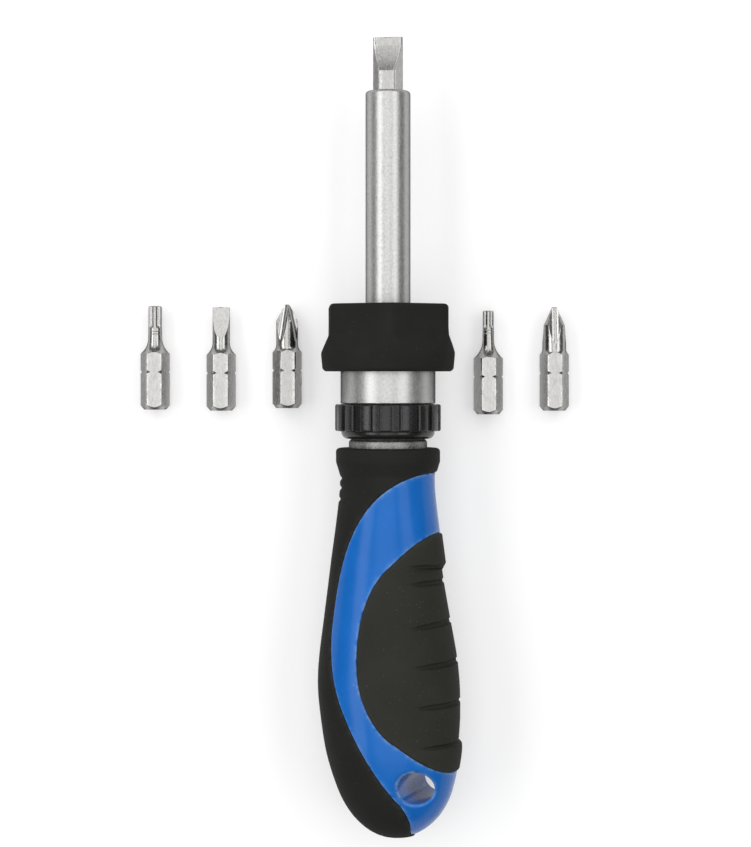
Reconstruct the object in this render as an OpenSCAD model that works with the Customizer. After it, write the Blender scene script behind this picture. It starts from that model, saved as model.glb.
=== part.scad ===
// Ratcheting screwdriver with a soft-grip handle, a direction ring, a finger collar,
// a hex socket and a set of hex bits, one fitted and five lying beside it.
// Every piece is drawn upright: Z runs up the tool axis from the butt to the tip,
// X points to the palm side and the seen side faces -Y. lay() puts the tool on its side.

/* [Handle] */
// Length of the handle from its butt to its rim
handle_len = 93.4; // [90:0.2:98]
// Half width of the handle at its belly
belly_half_w = 17; // [16.6:0.1:18]
// How far the round butt leans towards the palm side
butt_lean = 2.3; // [0:0.1:3.2]
// Thickness of the soft rubber over the hard core
rubber_t = 2; // [1.4:0.1:2.2]
// Radius of the rim at the top of the handle
rim_r = 12.5; // [12.2:0.1:13.5]
// Height of the round rim
rim_h = 6.6; // [5.8:0.2:7.4]
// Rounding of the rim's edge
rim_round = 0.9; // [0.4:0.1:1.2]
// Depth of the recess in the rim that the neck's flange sits in
rim_recess = 0.9; // [0.5:0.1:1.5]

/* [Grip pattern] */
// Turn of the colour pattern about the tool axis in degrees
pattern_roll = 16; // [0:1:24]
// Height of the lower end of the palm pad above the butt
pad_foot = 16.6; // [15.6:0.2:18]
// Distance from the upper end of the palm pad up to the rim
pad_drop = 13.6; // [12:0.2:18]
// Height of the widest place of the palm pad above its middle
pad_rise = 1.7; // [0:0.1:3]
// Half angle of the palm pad at its middle in degrees
pad_half_angle = 98.5; // [85:0.5:108]
// Height of the widest place of the coloured body above the middle of the pad
band_rise = 5.8; // [4:0.1:10]
// Half angle of the coloured body there in degrees
band_half_angle = 132.5; // [120:0.5:140]
// Depth of the finger grooves in the palm pad
groove_depth = 0.7; // [0.3:0.1:1]
// Width of the finger grooves
groove_w = 1.2; // [0.6:0.1:2]

/* [Lanyard hole] */
// Radius of the lanyard hole
lanyard_r = 3.9; // [2.5:0.1:4.2]
// Height of the hole above the butt
lanyard_z = 13.8; // [12:0.1:14.4]
// Distance of the hole from the tool axis, square to its own axis
lanyard_off = 9.6; // [8:0.1:10]

/* [Ratchet body] */
// Radius of the neck that sits in the handle
neck_r = 7.9; // [7.4:0.1:8.1]
// Length of the round neck inside the handle
neck_len = 17.4; // [14:0.2:20]
// Length of the hex tail below the neck
tail_len = 14; // [10:0.5:16]
// Radius of the hollow inside the neck and tail
neck_hollow_r = 5; // [4.6:0.1:5.4]
// Radius of the flange that shows above the handle
flange_r = 9.4; // [9.3:0.1:9.8]
// Height of that flange above the rim
flange_h = 2.1; // [1.8:0.1:2.6]
// Radius of the seat that the direction ring turns on
seat_r = 8.8; // [8.6:0.05:9]
// Radius of the gear chamber
chamber_r = 6.1; // [6.05:0.05:6.3]
// Thickness of the web under the gear chamber
web_t = 3; // [2:0.1:3.6]
// Radius of the barrel
barrel_r = 11.4; // [10.8:0.1:12]
// Height of the barrel that shows below the collar
barrel_show = 7.7; // [5:0.1:9]
// Height of the barrel that the collar hides
barrel_cover = 5.7; // [5:0.1:7]
// Thickness of the barrel's end wall
barrel_end_t = 1.4; // [1:0.1:2]
// Outer radius of the front bush
bush_r = 6.9; // [6.6:0.1:7.2]

/* [Direction ring] */
// Height of the direction ring
ring_h = 8.3; // [7.6:0.1:9]
// Radius of the ring over its lugs
ring_r = 12.7; // [12.4:0.1:13.4]
// Height of each lug above the ring
lug_h = 0.9; // [0.4:0.1:1.1]
// Number of lugs round the ring
lug_count = 16; // [12:1:20]
// Angle of each lug in degrees
lug_angle = 13; // [8:1:14]
// Radius of the smooth lip below the lugs
lip_r = 11.2; // [10.8:0.1:11.6]
// Height of that lip
lip_h = 1.8; // [1.4:0.1:2.4]
// Turn of the ring from one direction to the other in degrees
ring_throw = 36; // [30:1:36]

/* [Gear and pawl] */
// Number of teeth on the ratchet gear, a multiple of twelve
tooth_count = 24; // [12, 24]
// Radius over the gear's teeth
gear_r = 5.9; // [5.7:0.05:5.95]
// Depth of the teeth
tooth_depth = 0.9; // [0.7:0.05:1]
// Height of the gear
gear_h = 6.6; // [6:0.1:6.8]
// Distance of the pawl's pin from the tool axis
pawl_pin_off = 7.1; // [7:0.05:7.2]
// Radius of the pawl's pin
pawl_pin_r = 0.6; // [0.5:0.05:0.65]
// Radius of the plunger that tips the pawl
plunger_r = 1; // [0.8:0.05:1.1]
// Length of the plunger
plunger_len = 2.2; // [1.8:0.1:2.4]
// Travel of the plunger against its spring
plunger_travel = 0.3; // [0.2:0.05:0.4]

/* [Shaft and collar] */
// Radius of the shaft
shaft_r = 5.4; // [5.2:0.05:5.5]
// Length of the shaft that shows above the collar
shaft_show = 51.1; // [40:0.5:60]
// Rounding of the shaft's mouth
mouth_round = 0.8; // [0.4:0.1:1]
// Radius of the journal at the tail of the shaft
journal_r = 3; // [2.8:0.05:3.1]
// Depth of the bit socket
socket_depth = 12.4; // [10:0.1:13]
// Thickness of the magnet at the bottom of the socket
magnet_t = 3; // [2:0.5:4]
// Radius of the finger collar at its widest
collar_r = 16.1; // [15.8:0.1:16.5]
// Height of the finger collar
collar_h = 16.1; // [15:0.1:18]
// Distance of the collar's six flats from the tool axis
collar_flat_r = 14.2; // [13.6:0.1:14.6]
// Height of the flats, down from the top of the collar
collar_flat_h = 7.4; // [6:0.1:8.4]
// Height over which the flats slope out to the full radius
collar_slope_h = 4.3; // [3:0.1:5]
// Turn of the collar's front ridge past the middle in degrees
collar_turn = 2; // [0:1:59]

/* [Bits] */
// Size of the bits across their flats
bit_af = 6.35; // [6.2:0.01:6.4]
// Length of a bit
bit_len = 25.4; // [24:0.2:26]
// Turn of the fitted bit in its rest position in degrees
bit_turn = -8; // [-30:1:30]
// Distance from the tool axis to the nearest spare bit
spare_off = 24.7; // [22:0.1:30]
// Distance between neighbouring spare bits
spare_pitch = 16.2; // [12:0.1:20]
// Distance of the spare bits' bases from the butt, along the tool
spare_base = 102.4; // [80:0.2:130]

/* [Clearances] */
// Gap between pieces that are fixed to each other
seam = 0.04; // [0.02:0.01:0.06]
// Radial gap between a shaft and its bearing
running = 0.05; // [0.02:0.01:0.08]
// Gap between pieces that turn past each other
free_gap = 0.12; // [0.1:0.01:0.16]

/* [Hidden] */
$fn = 64;
overrun = 1;

// Half width of the handle as shares of the belly, at square-root shares of its length
profile_shares = [
    [0, 0], [0.07, 0.205], [0.15, 0.41], [0.21, 0.55], [0.253, 0.645], [0.324, 0.775],
    [0.383, 0.855], [0.433, 0.912], [0.48, 0.953], [0.557, 0.986], [0.627, 1],
    [0.689, 0.966], [0.747, 0.909], [0.8, 0.852], [0.849, 0.797], [0.897, 0.735],
    [0.942, 0.684], [0.964, 0.676], [1, 0.676]
];
// The belly is a little square in section, so that the tool lies still
belly_power = 2.3;
lean_reach_share = 0.475;
dome_share = 0.15;
flatten_from_share = 0.95;
flatten_to_share = 0.6;

// Outlines of the grip pattern
pad_power_up = 2.2;
pad_power_down = 2.35;
pad_end_share = 0.997;
band_power_up = 2.5;
band_power_down = 1.4;
band_up_share = 0.975;
// The coloured body's outline runs on round the butt and would close this far below it
band_under = 9.6;
groove_shares = [0.721, 0.597, 0.262, -0.06, -0.406, -0.76];
groove_tilt = 3;
groove_arc = 60;
edge_step = 0.2;

// Heights up the tool axis
flange_low = handle_len - rim_recess + seam;
flange_top = handle_len + flange_h;
ring_z = flange_top + free_gap;
ring_top = ring_z + ring_h;
barrel_z = ring_top + free_gap;
collar_z = barrel_z + barrel_show;
barrel_top = collar_z + barrel_cover;
head_top = barrel_top - barrel_end_t - seam;
collar_top = collar_z + collar_h;
shaft_top = collar_top + shaft_show;
bit_base = shaft_top - socket_depth;
tip_z = bit_base + bit_len;
rim_z = handle_len - rim_h;
neck_z = handle_len - neck_len;
tail_z = neck_z - tail_len;
pad_mid = (pad_foot + rim_z - pad_drop) / 2;
pad_reach = pad_mid - pad_foot;
band_mid = pad_mid + band_rise;

// The belly and the collar rest on one plane
axis_h = collar_r;
belly_half_t = axis_h;

// Bits
bit_corner_r = bit_af / sqrt(3);
bit_edge_share = 0.985;
bit_edge_r = bit_corner_r * bit_edge_share;
notch_z = 9.2;
notch_depth = 0.35;
shank_len = 13.7;
shoulder_angle = 52;
base_bevel_r = 0.95;
base_bevel_h = 1.1;
slotted_blade_t = 1.2;
slotted_grind_h = 8.4;
slotted_land_h = 2;
slotted_small_r = 2.1;
slotted_small_t = 0.8;
slotted_small_grind_h = 7.5;
star_large_r = 1.7;
star_large_flute_h = 6.2;
star_small_r = 1.4;
star_small_flute_h = 4.5;
cross_small_r = 2.65;
cross_small_tip_r = 0.6;
cross_small_cone_h = 4.1;
cross_large_r = 2.9;
cross_large_tip_r = 0.85;
cross_large_cone_h = 4.4;
cross_flute_h = 9;
star_flute_share = 0.36;
star_flute_off_share = 1.08;
cross_flute_share = 0.62;
cross_core_share = 0.55;

// The whole set is centred on the origin, three spare bits to the left and two to the right
spare_lefts = 3;
spare_rights = 2;
// How far each spare bit has slipped along, as a share of its length
star_large_slip_share = 0;
slotted_small_slip_share = -0.01;
cross_small_slip_share = 0.015;
star_small_slip_share = -0.045;
cross_large_slip_share = -0.01;
set_left = -spare_off - (spare_lefts - 1) * spare_pitch - bit_edge_r;
set_right = spare_off + (spare_rights - 1) * spare_pitch + bit_edge_r;
tool_x = -(set_left + set_right) / 2;

// Gear chamber, from its floor up
gear_clear = 1.2;
washer_t = 0.7;
chamber_z = ring_z + free_gap;
web_z = chamber_z - web_t;
gear_z = chamber_z + gear_clear;
gear_top = gear_z + gear_h;
washer_z = gear_top + free_gap;
bush_z = washer_z + washer_t + seam;

// Tail of the shaft
circlip_t = 0.8;
circlip_r = 4.3;
circlip_groove = 0.5;
circlip_z = web_z - free_gap - circlip_t;
journal_tail = 1.2;
gear_hex_r = 3.6;
socket_corner_r = bit_corner_r + running;
magnet_slack = 0.2;
magnet_r = bit_af / 2 - magnet_slack;

// Pawl, drawn about its pin, with its lower nose in the gear
pawl_h = 5.2;
pawl_z = gear_z + free_gap;
pawl_turn = 90;
pawl_swing = ring_throw / 4;
window_half_w = 4.2;
pin_bite_low = 2.2;
pin_bite_high = 1;
pin_low = pawl_z - free_gap - pin_bite_low;
pin_high = pawl_z + pawl_h + free_gap + pin_bite_high;
tooth_step = 360 / tooth_count;
nose_sink_share = 0.61;
nose_half_angle = 28;
pawl_hub_share = 1.6;
nose_tip_r = gear_r - tooth_depth * nose_sink_share;
nose_angle = 1.5 * tooth_step;

// Direction ring and its plunger
lug_turn = 3;
ring_bore_r = seat_r + running;
ring_root_r = ring_r - lug_h;
plunger_tip_r = 8.15;
spring_solid_len = 0.7;
pocket_end_r = plunger_tip_r + plunger_len + plunger_travel + spring_solid_len;

// Hub inside the finger collar
hub_clear = 0.48;
hub_z = barrel_top + hub_clear;
hub_top = collar_top - mouth_round;
hub_r = barrel_r + hub_clear;

// Small curve helpers

// Points of an arc about [x, y], from one angle to another
function arc(x, y, r, from, to, steps = 8) =
    [for (i = [0:steps]) let (q = from + (to - from) * i / steps) [x + r * cos(q), y + r * sin(q)]];

// Evenly spread values, both ends included
function spread(count, from, to) = [for (i = [0:count]) from + (to - from) * i / count];

// Smooth step from 0 to 1
function ease(t) = let (s = min(1, max(0, t))) s * s * (3 - 2 * s);

function slope_at(table, i) =
    let (last = len(table) - 1, a = max(0, i - 1), b = min(last, i + 1))
    (table[b][1] - table[a][1]) / (table[b][0] - table[a][0]);

// Smooth curve through a table of [place, value] pairs
function curve(table, t) =
    let (
        i = max([for (k = [0:len(table) - 2]) table[k][0] <= t ? k : 0]),
        step = table[i + 1][0] - table[i][0],
        s = (t - table[i][0]) / step
    )
    table[i][1] * (1 + 2 * s) * (1 - s) * (1 - s) + step * slope_at(table, i) * s * (1 - s) * (1 - s)
    + table[i + 1][1] * s * s * (3 - 2 * s) + step * slope_at(table, i + 1) * s * s * (s - 1);

// Handle surface

function half_w(z) = belly_half_w * curve(profile_shares, sqrt(max(0, z) / handle_len));
function belly_ease(z) =
    ease((flatten_from_share - z / handle_len) / (flatten_from_share - flatten_to_share));
function half_t(z) = half_w(z) * (1 - (1 - belly_half_t / belly_half_w) * belly_ease(z));
function middle_x(z) =
    let (s = min(1, z / (handle_len * lean_reach_share))) butt_lean * (1 + cos(180 * s)) / 2;
function dome_lift(z) = let (s = min(1, z / (handle_len * dome_share))) sqrt(1 - s * s);
function power(z) = 2 + (belly_power - 2) * belly_ease(z);
function bulge(v, p) = sign(v) * pow(abs(v), 2 / p);

// Point on the handle at a height and a pattern angle, sunk below the surface by depth
function skin(z, angle, depth) =
    let (q = angle + pattern_roll, p = power(z))
    [
        middle_x(z) + max(0, half_w(z) - depth) * bulge(cos(q), p),
        -max(0, half_t(z) - depth) * bulge(sin(q), p),
        z + depth * dome_lift(z)
    ];

// Half angle of an outline that closes at both ends of its reach
function outline_angle(z, mid, up, down, peak, power_up, power_down) =
    let (
        u = min(1, z > mid ? (z - mid) / up : (mid - z) / down),
        p = z > mid ? power_up : power_down
    )
    peak * pow(max(0, 1 - pow(u, p)), 1 / p);

band_top = rim_z - edge_step;
band_up = (band_top - band_mid) / band_up_share;
band_down = band_mid + band_under;
pad_wide_z = pad_mid + pad_rise;
pad_low = pad_mid - pad_reach * pad_end_share;
pad_high = pad_mid + pad_reach * pad_end_share;

function pad_angle(z) =
    z < pad_low - edge_step / 2 || z > pad_high + edge_step / 2 ? 0 :
    outline_angle(z, pad_wide_z, pad_reach - pad_rise, pad_reach + pad_rise,
        pad_half_angle, pad_power_up, pad_power_down);
function band_angle(z) =
    z > band_top + edge_step / 2 ? 0 :
    outline_angle(z, band_mid, band_up, band_down, band_half_angle, band_power_up, band_power_down);

// Heights of the rings that the handle is lofted through
butt_rings = [for (s = spread(9, 0, 1)) pow(s, 2) * (pad_low - edge_step)];
pad_rings = [for (s = spread(22, 0, 180)) pad_low + (pad_high - pad_low) * (1 - cos(s)) / 2];
top_rings = [for (s = spread(7, 0, 90)) pad_high + edge_step + (band_top - pad_high - edge_step) * sin(s)];
grip_rings = concat(butt_rings, pad_rings, top_rings);

pad_steps = 12;
band_steps = 5;
spine_steps = 14;

// One closed ring of the hard core, sunk where rubber covers it
function core_ring(z) =
    let (
        p = pad_angle(z),
        b = band_angle(z),
        band_depth = b > 0 ? 0 : rubber_t,
        pad_depth = p > 0 ? rubber_t : band_depth
    )
    concat(
        [for (q = spread(pad_steps, -p, p)) skin(z, q, pad_depth)],
        [for (q = spread(band_steps, p, b)) skin(z, q, band_depth)],
        [for (q = spread(spine_steps, b, 360 - b)) skin(z, q, rubber_t)],
        [for (q = spread(band_steps, 360 - b, 360 - p)) skin(z, q, band_depth)]
    );

function seam_angle(z) = seam / max(half_w(z), rubber_t) * 180 / PI;

// One closed ring of a rubber skin between two pattern angles
function skin_ring(z, from, to, steps) =
    concat(
        [for (q = spread(steps, from, to)) skin(z, q, 0)],
        [for (q = spread(steps, to, from)) skin(z, q, rubber_t - seam)]
    );

// Solid through a stack of rings that all have the same number of points. From the point
// flip_from on, its quads are split the other way, for a ring that runs back under itself.
module loft(rings, caps, flip_from) {
    count = len(rings[0]);
    last = len(rings) - 1;
    sides = [
        for (i = [0:last - 1], j = [0:count - 1]) let (
            k = (j + 1) % count,
            a = i * count + j,
            b = i * count + k,
            c = (i + 1) * count + k,
            d = (i + 1) * count + j
        ) each j < flip_from ? [[a, b, c], [a, c, d]] : [[a, b, d], [b, c, d]]
    ];
    polyhedron([for (ring = rings) each ring], concat(sides, caps), convexity = 8);
}

// Fan that closes the top of a loft, about its first point
function fan_cap(rings) =
    let (count = len(rings[0]), base = (len(rings) - 1) * count)
    [for (j = [1:count - 2]) [base, base + j, base + j + 1]];

// Strip that closes a rubber skin's end, between its outer and inner edges
function strip_cap(count, base, flip) =
    [
        for (k = [0:count / 2 - 2]) let (
            a = base + k,
            b = base + k + 1,
            c = base + count - 2 - k,
            d = base + count - 1 - k
        ) each flip ? [[a, c, b], [a, d, c]] : [[a, b, c], [a, c, d]]
    ];

// Puts an upright piece on its side, with the whole set centred on the origin
module lay() {
    translate([tool_x, -tip_z / 2, axis_h]) rotate([-90, 0, 0]) children();
}

// Tube between two heights
module tube(low, high, inner, outer) {
    translate([0, 0, low]) difference() {
        cylinder(r = outer, h = high - low);
        translate([0, 0, -overrun]) cylinder(r = inner, h = high - low + 2 * overrun);
    }
}

// Straight hole between two heights
module hole(low, high, r) {
    translate([0, 0, low]) cylinder(r = r, h = high - low);
}

// Hex prism between two heights, with its flats facing front and back
module hex_prism(low, high, corner_r) {
    translate([0, 0, low]) cylinder(r = corner_r, h = high - low, $fn = 6);
}

// Handle pieces

module lanyard_bore() {
    translate([middle_x(lanyard_z), 0, lanyard_z]) rotate([0, 0, -pattern_roll])
        translate([lanyard_off - middle_x(lanyard_z), 0, 0]) rotate([90, 0, 0])
            translate([0, 0, -2 * belly_half_w]) cylinder(r = lanyard_r, h = 4 * belly_half_w);
}

module handle_core() {
    rings = [for (z = concat(grip_rings, [band_top + edge_step])) core_ring(z)];
    core_r = half_w(rim_z) - rubber_t;
    color("royalblue") lay() difference() {
        union() {
            loft(rings, fan_cap(rings), len(rings[0]));
            hole(rim_z, handle_len - rim_recess, core_r);
            hole(neck_z, rim_z + edge_step, core_r - rubber_t / 4);
        }
        hole(neck_z, handle_len + overrun, neck_r + seam);
        hex_prism(tail_z - seam, neck_z + overrun, neck_r + seam);
        lanyard_bore();
    }
}

module rim() {
    waist_r = half_w(rim_z) + seam;
    inner_r = half_w(rim_z) - rubber_t + seam;
    mouth_r = flange_r + free_gap;
    shoulder_z = rim_z + rim_h / 2;
    rotate_extrude() polygon(concat(
        [[inner_r, rim_z], [waist_r, rim_z]],
        [[rim_r, shoulder_z]],
        arc(rim_r - rim_round, handle_len - rim_round, rim_round, 0, 90),
        [[mouth_r, handle_len], [mouth_r, handle_len - rim_recess], [inner_r, handle_len - rim_recess]]
    ));
}

// Half ring that reaches from the rim down into the wall of the spine grip
module rim_root() {
    wall_r = half_w(rim_z) - rubber_t / 2;
    rotate([0, 0, 90 - pattern_roll]) rotate_extrude(angle = 180)
        translate([wall_r - rubber_t / 4, rim_z - rubber_t]) square([rubber_t / 2, 2 * rubber_t]);
}

module spine_grip() {
    rings = [
        for (z = concat(grip_rings, [rim_z])) let (b = band_angle(min(z, band_top)) + seam_angle(z))
        skin_ring(z, b, 360 - b, spine_steps)
    ];
    count = len(rings[0]);
    color("#2e2e2b") lay() union() {
        loft(rings, strip_cap(count, (len(rings) - 1) * count, false), count / 2);
        rim();
        rim_root();
    }
}

// Ring-shaped cutter for one finger groove, at the height where it meets the palm edge
module finger_groove(z) {
    r = half_w(z);
    translate([middle_x(z), 0, z - r * sin(groove_tilt)]) rotate([0, -groove_tilt, 0])
        rotate([0, 0, -groove_arc]) rotate_extrude(angle = 2 * groove_arc) polygon([
            [r - groove_depth, 0],
            [r + overrun, -groove_w],
            [r + overrun, groove_w]
        ]);
}

module palm_grip() {
    rings = [
        for (z = pad_rings) let (p = pad_angle(z) - seam_angle(z))
        skin_ring(z, -p, p, pad_steps)
    ];
    count = len(rings[0]);
    caps = concat(strip_cap(count, 0, true), strip_cap(count, (len(rings) - 1) * count, false));
    color("#34342f") lay() difference() {
        loft(rings, caps, count / 2);
        for (s = groove_shares) finger_groove(pad_mid + pad_reach * s);
    }
}

// Ratchet mechanism

// Turns a piece so that the pawl's side of the mechanism faces away from the table
module pawl_side() {
    rotate([0, 0, -pawl_turn]) children();
}

module ratchet_body() {
    color("gray") lay() difference() {
        union() {
            hex_prism(tail_z, neck_z, neck_r);
            hole(neck_z, flange_low, neck_r);
            hole(flange_low, flange_top, flange_r);
            hole(flange_top, barrel_z, seat_r);
            hole(barrel_z, head_top, seat_r - seam);
        }
        hole(tail_z - overrun, web_z, neck_hollow_r);
        hole(web_z - overrun, chamber_z + overrun, journal_r + running);
        hole(chamber_z, bush_z, chamber_r);
        hole(bush_z, head_top + overrun, bush_r + seam);
        pawl_side() {
            translate([0, -window_half_w, pawl_z - free_gap])
                cube([2 * seat_r, 2 * window_half_w, pawl_h + 2 * free_gap]);
            translate([pawl_pin_off, 0, 0]) hole(pin_low - seam, pin_high + seam, pawl_pin_r + seam);
        }
    }
}

module barrel() {
    edge = barrel_end_t / 3;
    color("silver") lay() rotate_extrude() polygon([
        [seat_r, barrel_z], [barrel_r, barrel_z], [barrel_r, barrel_top - edge],
        [barrel_r - edge, barrel_top], [shaft_r + free_gap, barrel_top],
        [shaft_r + free_gap, head_top + seam], [seat_r, head_top + seam]
    ]);
}

module front_bush() {
    color("peru") lay() tube(bush_z, head_top, shaft_r + running, bush_r);
}

module thrust_washer() {
    color("darkgray") lay() tube(washer_z, washer_z + washer_t, shaft_r + running, chamber_r - running);
}

module pawl_pin() {
    color("silver") lay() pawl_side() translate([pawl_pin_off, 0, 0]) hole(pin_low, pin_high, pawl_pin_r);
}

// Outline of the rocker pawl about its pin, level between its two positions
module pawl_outline() {
    bite = [nose_tip_r * cos(nose_angle) - pawl_pin_off, nose_tip_r * sin(nose_angle)];
    tip = turned(bite, -pawl_swing);
    lean = nose_angle - pawl_swing;
    low = lean - nose_half_angle;
    high = lean + nose_half_angle;
    back = plunger_tip_r - pawl_pin_off - free_gap;
    hub = pawl_pin_r * pawl_hub_share;
    half = [
        [-hub, hub],
        tip + tooth_depth * [cos(low), sin(low)],
        tip,
        tip + tooth_depth * [cos(high), sin(high)],
        [back / 3, tip[1] + tooth_depth * sin(high)],
        [back, tip[1]]
    ];
    mirrored = [for (i = [len(half) - 1:-1:0]) [half[i][0], -half[i][1]]];
    polygon(concat(half, mirrored));
}

function turned(v, q) = [v[0] * cos(q) - v[1] * sin(q), v[0] * sin(q) + v[1] * cos(q)];

module pawl() {
    color("dimgray") lay() pawl_side() translate([pawl_pin_off, 0, pawl_z]) rotate([0, 0, -pawl_swing])
        difference() {
            linear_extrude(pawl_h) pawl_outline();
            translate([0, 0, -overrun]) cylinder(r = pawl_pin_r + running, h = pawl_h + 2 * overrun);
        }
}

module ratchet_gear() {
    teeth = [
        for (i = [0:tooth_count - 1]) let (q = i * tooth_step, flat = tooth_step / 10) each [
            gear_r * [cos(q - flat), sin(q - flat)],
            gear_r * [cos(q + flat), sin(q + flat)],
            (gear_r - tooth_depth) * [cos(q + tooth_step / 2), sin(q + tooth_step / 2)]
        ]
    ];
    color("dimgray") lay() difference() {
        pawl_side() translate([0, 0, gear_z]) linear_extrude(gear_h) polygon(teeth);
        hex_prism(gear_z - overrun, gear_top + overrun, gear_hex_r + seam);
    }
}

// Places a radial piece of the direction ring at the height and angle of its plunger
module plunger_place() {
    pawl_side() rotate([0, 0, -ring_throw / 2]) translate([0, 0, pawl_z + pawl_h / 2]) rotate([0, 90, 0])
        children();
}

module direction_ring() {
    lug_z = ring_z + lip_h;
    lug_low = lug_z + seam;
    lug_high = ring_top - seam;
    lug_in = ring_root_r - lug_h / 2;
    edge = lug_h / 3;
    lip_round = lip_h / 2;
    step = 360 / lug_count;
    color("#161616") lay() difference() {
        union() {
            rotate_extrude() polygon(concat(
                [[ring_bore_r, ring_z]],
                arc(lip_r - lip_round, ring_z + lip_round, lip_round, -90, 0),
                [[lip_r, lug_z], [ring_root_r, lug_z], [ring_root_r, ring_top], [ring_bore_r, ring_top]]
            ));
            for (i = [0:lug_count - 1]) rotate([0, 0, i * step - 90 - lug_turn - lug_angle / 2])
                rotate_extrude(angle = lug_angle) polygon([
                    [lug_in, lug_low], [ring_r - edge, lug_low], [ring_r, lug_low + edge],
                    [ring_r, lug_high - edge], [ring_r - edge, lug_high], [lug_in, lug_high]
                ]);
        }
        plunger_place() hole(0, pocket_end_r, plunger_r + running);
    }
}

module plunger() {
    color("silver") lay() plunger_place() {
        translate([0, 0, plunger_tip_r + plunger_r]) sphere(r = plunger_r);
        hole(plunger_tip_r + plunger_r, plunger_tip_r + plunger_len, plunger_r);
    }
}

module plunger_spring() {
    color("gainsboro") lay() plunger_place()
        tube(plunger_tip_r + plunger_len + seam, pocket_end_r - seam, plunger_r / 2, plunger_r - seam);
}

// Driver pieces

module shaft() {
    neck = journal_r - circlip_groove;
    color("lightgray") lay() difference() {
        union() {
            rotate_extrude() polygon(concat(
                [[0, gear_top], [shaft_r, gear_top]],
                arc(shaft_r - mouth_round, shaft_top - mouth_round, mouth_round, 0, 90),
                [[0, shaft_top]]
            ));
            hex_prism(gear_z - gear_clear / 2, gear_top + gear_clear, gear_hex_r);
            hole(circlip_z + circlip_t, gear_z, journal_r);
            hole(circlip_z - journal_tail / 2, circlip_z + 2 * circlip_t, neck);
            hole(circlip_z - journal_tail, circlip_z, journal_r);
        }
        rotate([0, 0, bit_turn]) hex_prism(bit_base - seam, shaft_top + overrun, socket_corner_r);
        hole(bit_base - seam - magnet_t - seam, bit_base, magnet_r + seam);
    }
}

module circlip() {
    gap = circlip_r / 2;
    color("silver") lay() difference() {
        tube(circlip_z + seam, circlip_z + circlip_t - seam, journal_r - circlip_groove + seam, circlip_r);
        translate([0, -gap / 2, circlip_z - overrun]) cube([2 * circlip_r, gap, circlip_t + 2 * overrun]);
    }
}

module bit_magnet() {
    color("darkgray") lay() hole(bit_base - seam - magnet_t, bit_base - 2 * seam, magnet_r);
}

module collar_hub() {
    color("#202020") lay() tube(hub_z, hub_top, shaft_r + seam, hub_r);
}

// Cutter that leaves one flat on the collar, with its foot sloping out
module collar_flat() {
    flat_z = collar_top - collar_flat_h;
    rotate([90, 0, 0]) translate([0, 0, -2 * collar_r]) linear_extrude(4 * collar_r) polygon([
        [collar_flat_r, collar_top + overrun], [collar_flat_r, flat_z],
        [collar_r, flat_z - collar_slope_h], [2 * collar_r, flat_z - collar_slope_h],
        [2 * collar_r, collar_top + overrun]
    ]);
}

module finger_collar() {
    foot = mouth_round / 2;
    color("#2e2e2b") lay() difference() {
        rotate_extrude() polygon(concat(
            [[hub_r + seam, collar_z], [collar_r - foot, collar_z]],
            [[collar_r, collar_top - collar_flat_h - collar_slope_h]],
            arc(collar_r - mouth_round, collar_top - mouth_round, mouth_round, 0, 90),
            [[shaft_r + seam, collar_top], [shaft_r + seam, hub_top + seam], [hub_r + seam, hub_top + seam]]
        ));
        for (i = [0:5]) rotate([0, 0, collar_turn - 60 + i * 60]) collar_flat();
    }
}

// Bits

// Hex bit with a round nose, from its base up: nose is a list of [radius, height] points
module bit_blank(nose) {
    intersection() {
        hex_prism(0, bit_len, bit_corner_r);
        rotate_extrude() polygon(concat(
            [[0, 0], [bit_edge_r - base_bevel_r, 0], [bit_edge_r, base_bevel_h],
             [bit_edge_r, notch_z - notch_depth], [bit_edge_r - notch_depth, notch_z],
             [bit_edge_r, notch_z + notch_depth]],
            nose
        ));
    }
}

// Shoulder from the hex down to a round neck, and the neck up to a height
function nose_points(neck_r, neck_top) =
    let (r = (bit_edge_r - neck_r) / (1 - cos(shoulder_angle)))
    concat(arc(neck_r + r, shank_len + r * sin(shoulder_angle), r, 180 + shoulder_angle, 180, 5),
        [[neck_r, neck_top]]);

// Two hollow grinds that leave a flat blade at the top of a bit
module blade_grinds(blade_t, grind_h, land_h, stock_r) {
    cut = stock_r - blade_t / 2;
    reach = grind_h - land_h;
    wheel_r = (reach * reach + cut * cut) / (2 * cut);
    for (side = [0, 180]) rotate([0, 0, side]) {
        translate([-2 * stock_r, -blade_t / 2 - wheel_r, bit_len - land_h]) rotate([0, 90, 0])
            cylinder(r = wheel_r, h = 4 * stock_r);
        translate([-2 * stock_r, -blade_t / 2 - 2 * stock_r, bit_len - land_h])
            cube([4 * stock_r, 2 * stock_r, land_h + overrun]);
    }
}

module slotted_bit() {
    color("silver") lay() translate([0, 0, bit_base]) rotate([0, 0, bit_turn]) difference() {
        bit_blank([[bit_edge_r, bit_len], [0, bit_len]]);
        blade_grinds(slotted_blade_t, slotted_grind_h, slotted_land_h, bit_af / 2);
    }
}

// Lays a spare bit on the table, so many pitches left or right of the tool
module spare_place(count, slip_share) {
    side = sign(count);
    x = side * (spare_off + (abs(count) - 1) * spare_pitch);
    lay() translate([x, axis_h - bit_af / 2, spare_base + slip_share * bit_len]) children();
}

module star_bit(tip_r, flute_len) {
    flute_r = tip_r * star_flute_share;
    flute_off = tip_r * star_flute_off_share;
    edge = tip_r / 6;
    difference() {
        bit_blank(concat(nose_points(tip_r, bit_len - edge), [[tip_r - edge, bit_len], [0, bit_len]]));
        for (i = [0:5]) rotate([0, 0, i * 60]) translate([flute_off, 0, bit_len - flute_len])
            cylinder(r = flute_r, h = flute_len + overrun);
    }
}

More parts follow.
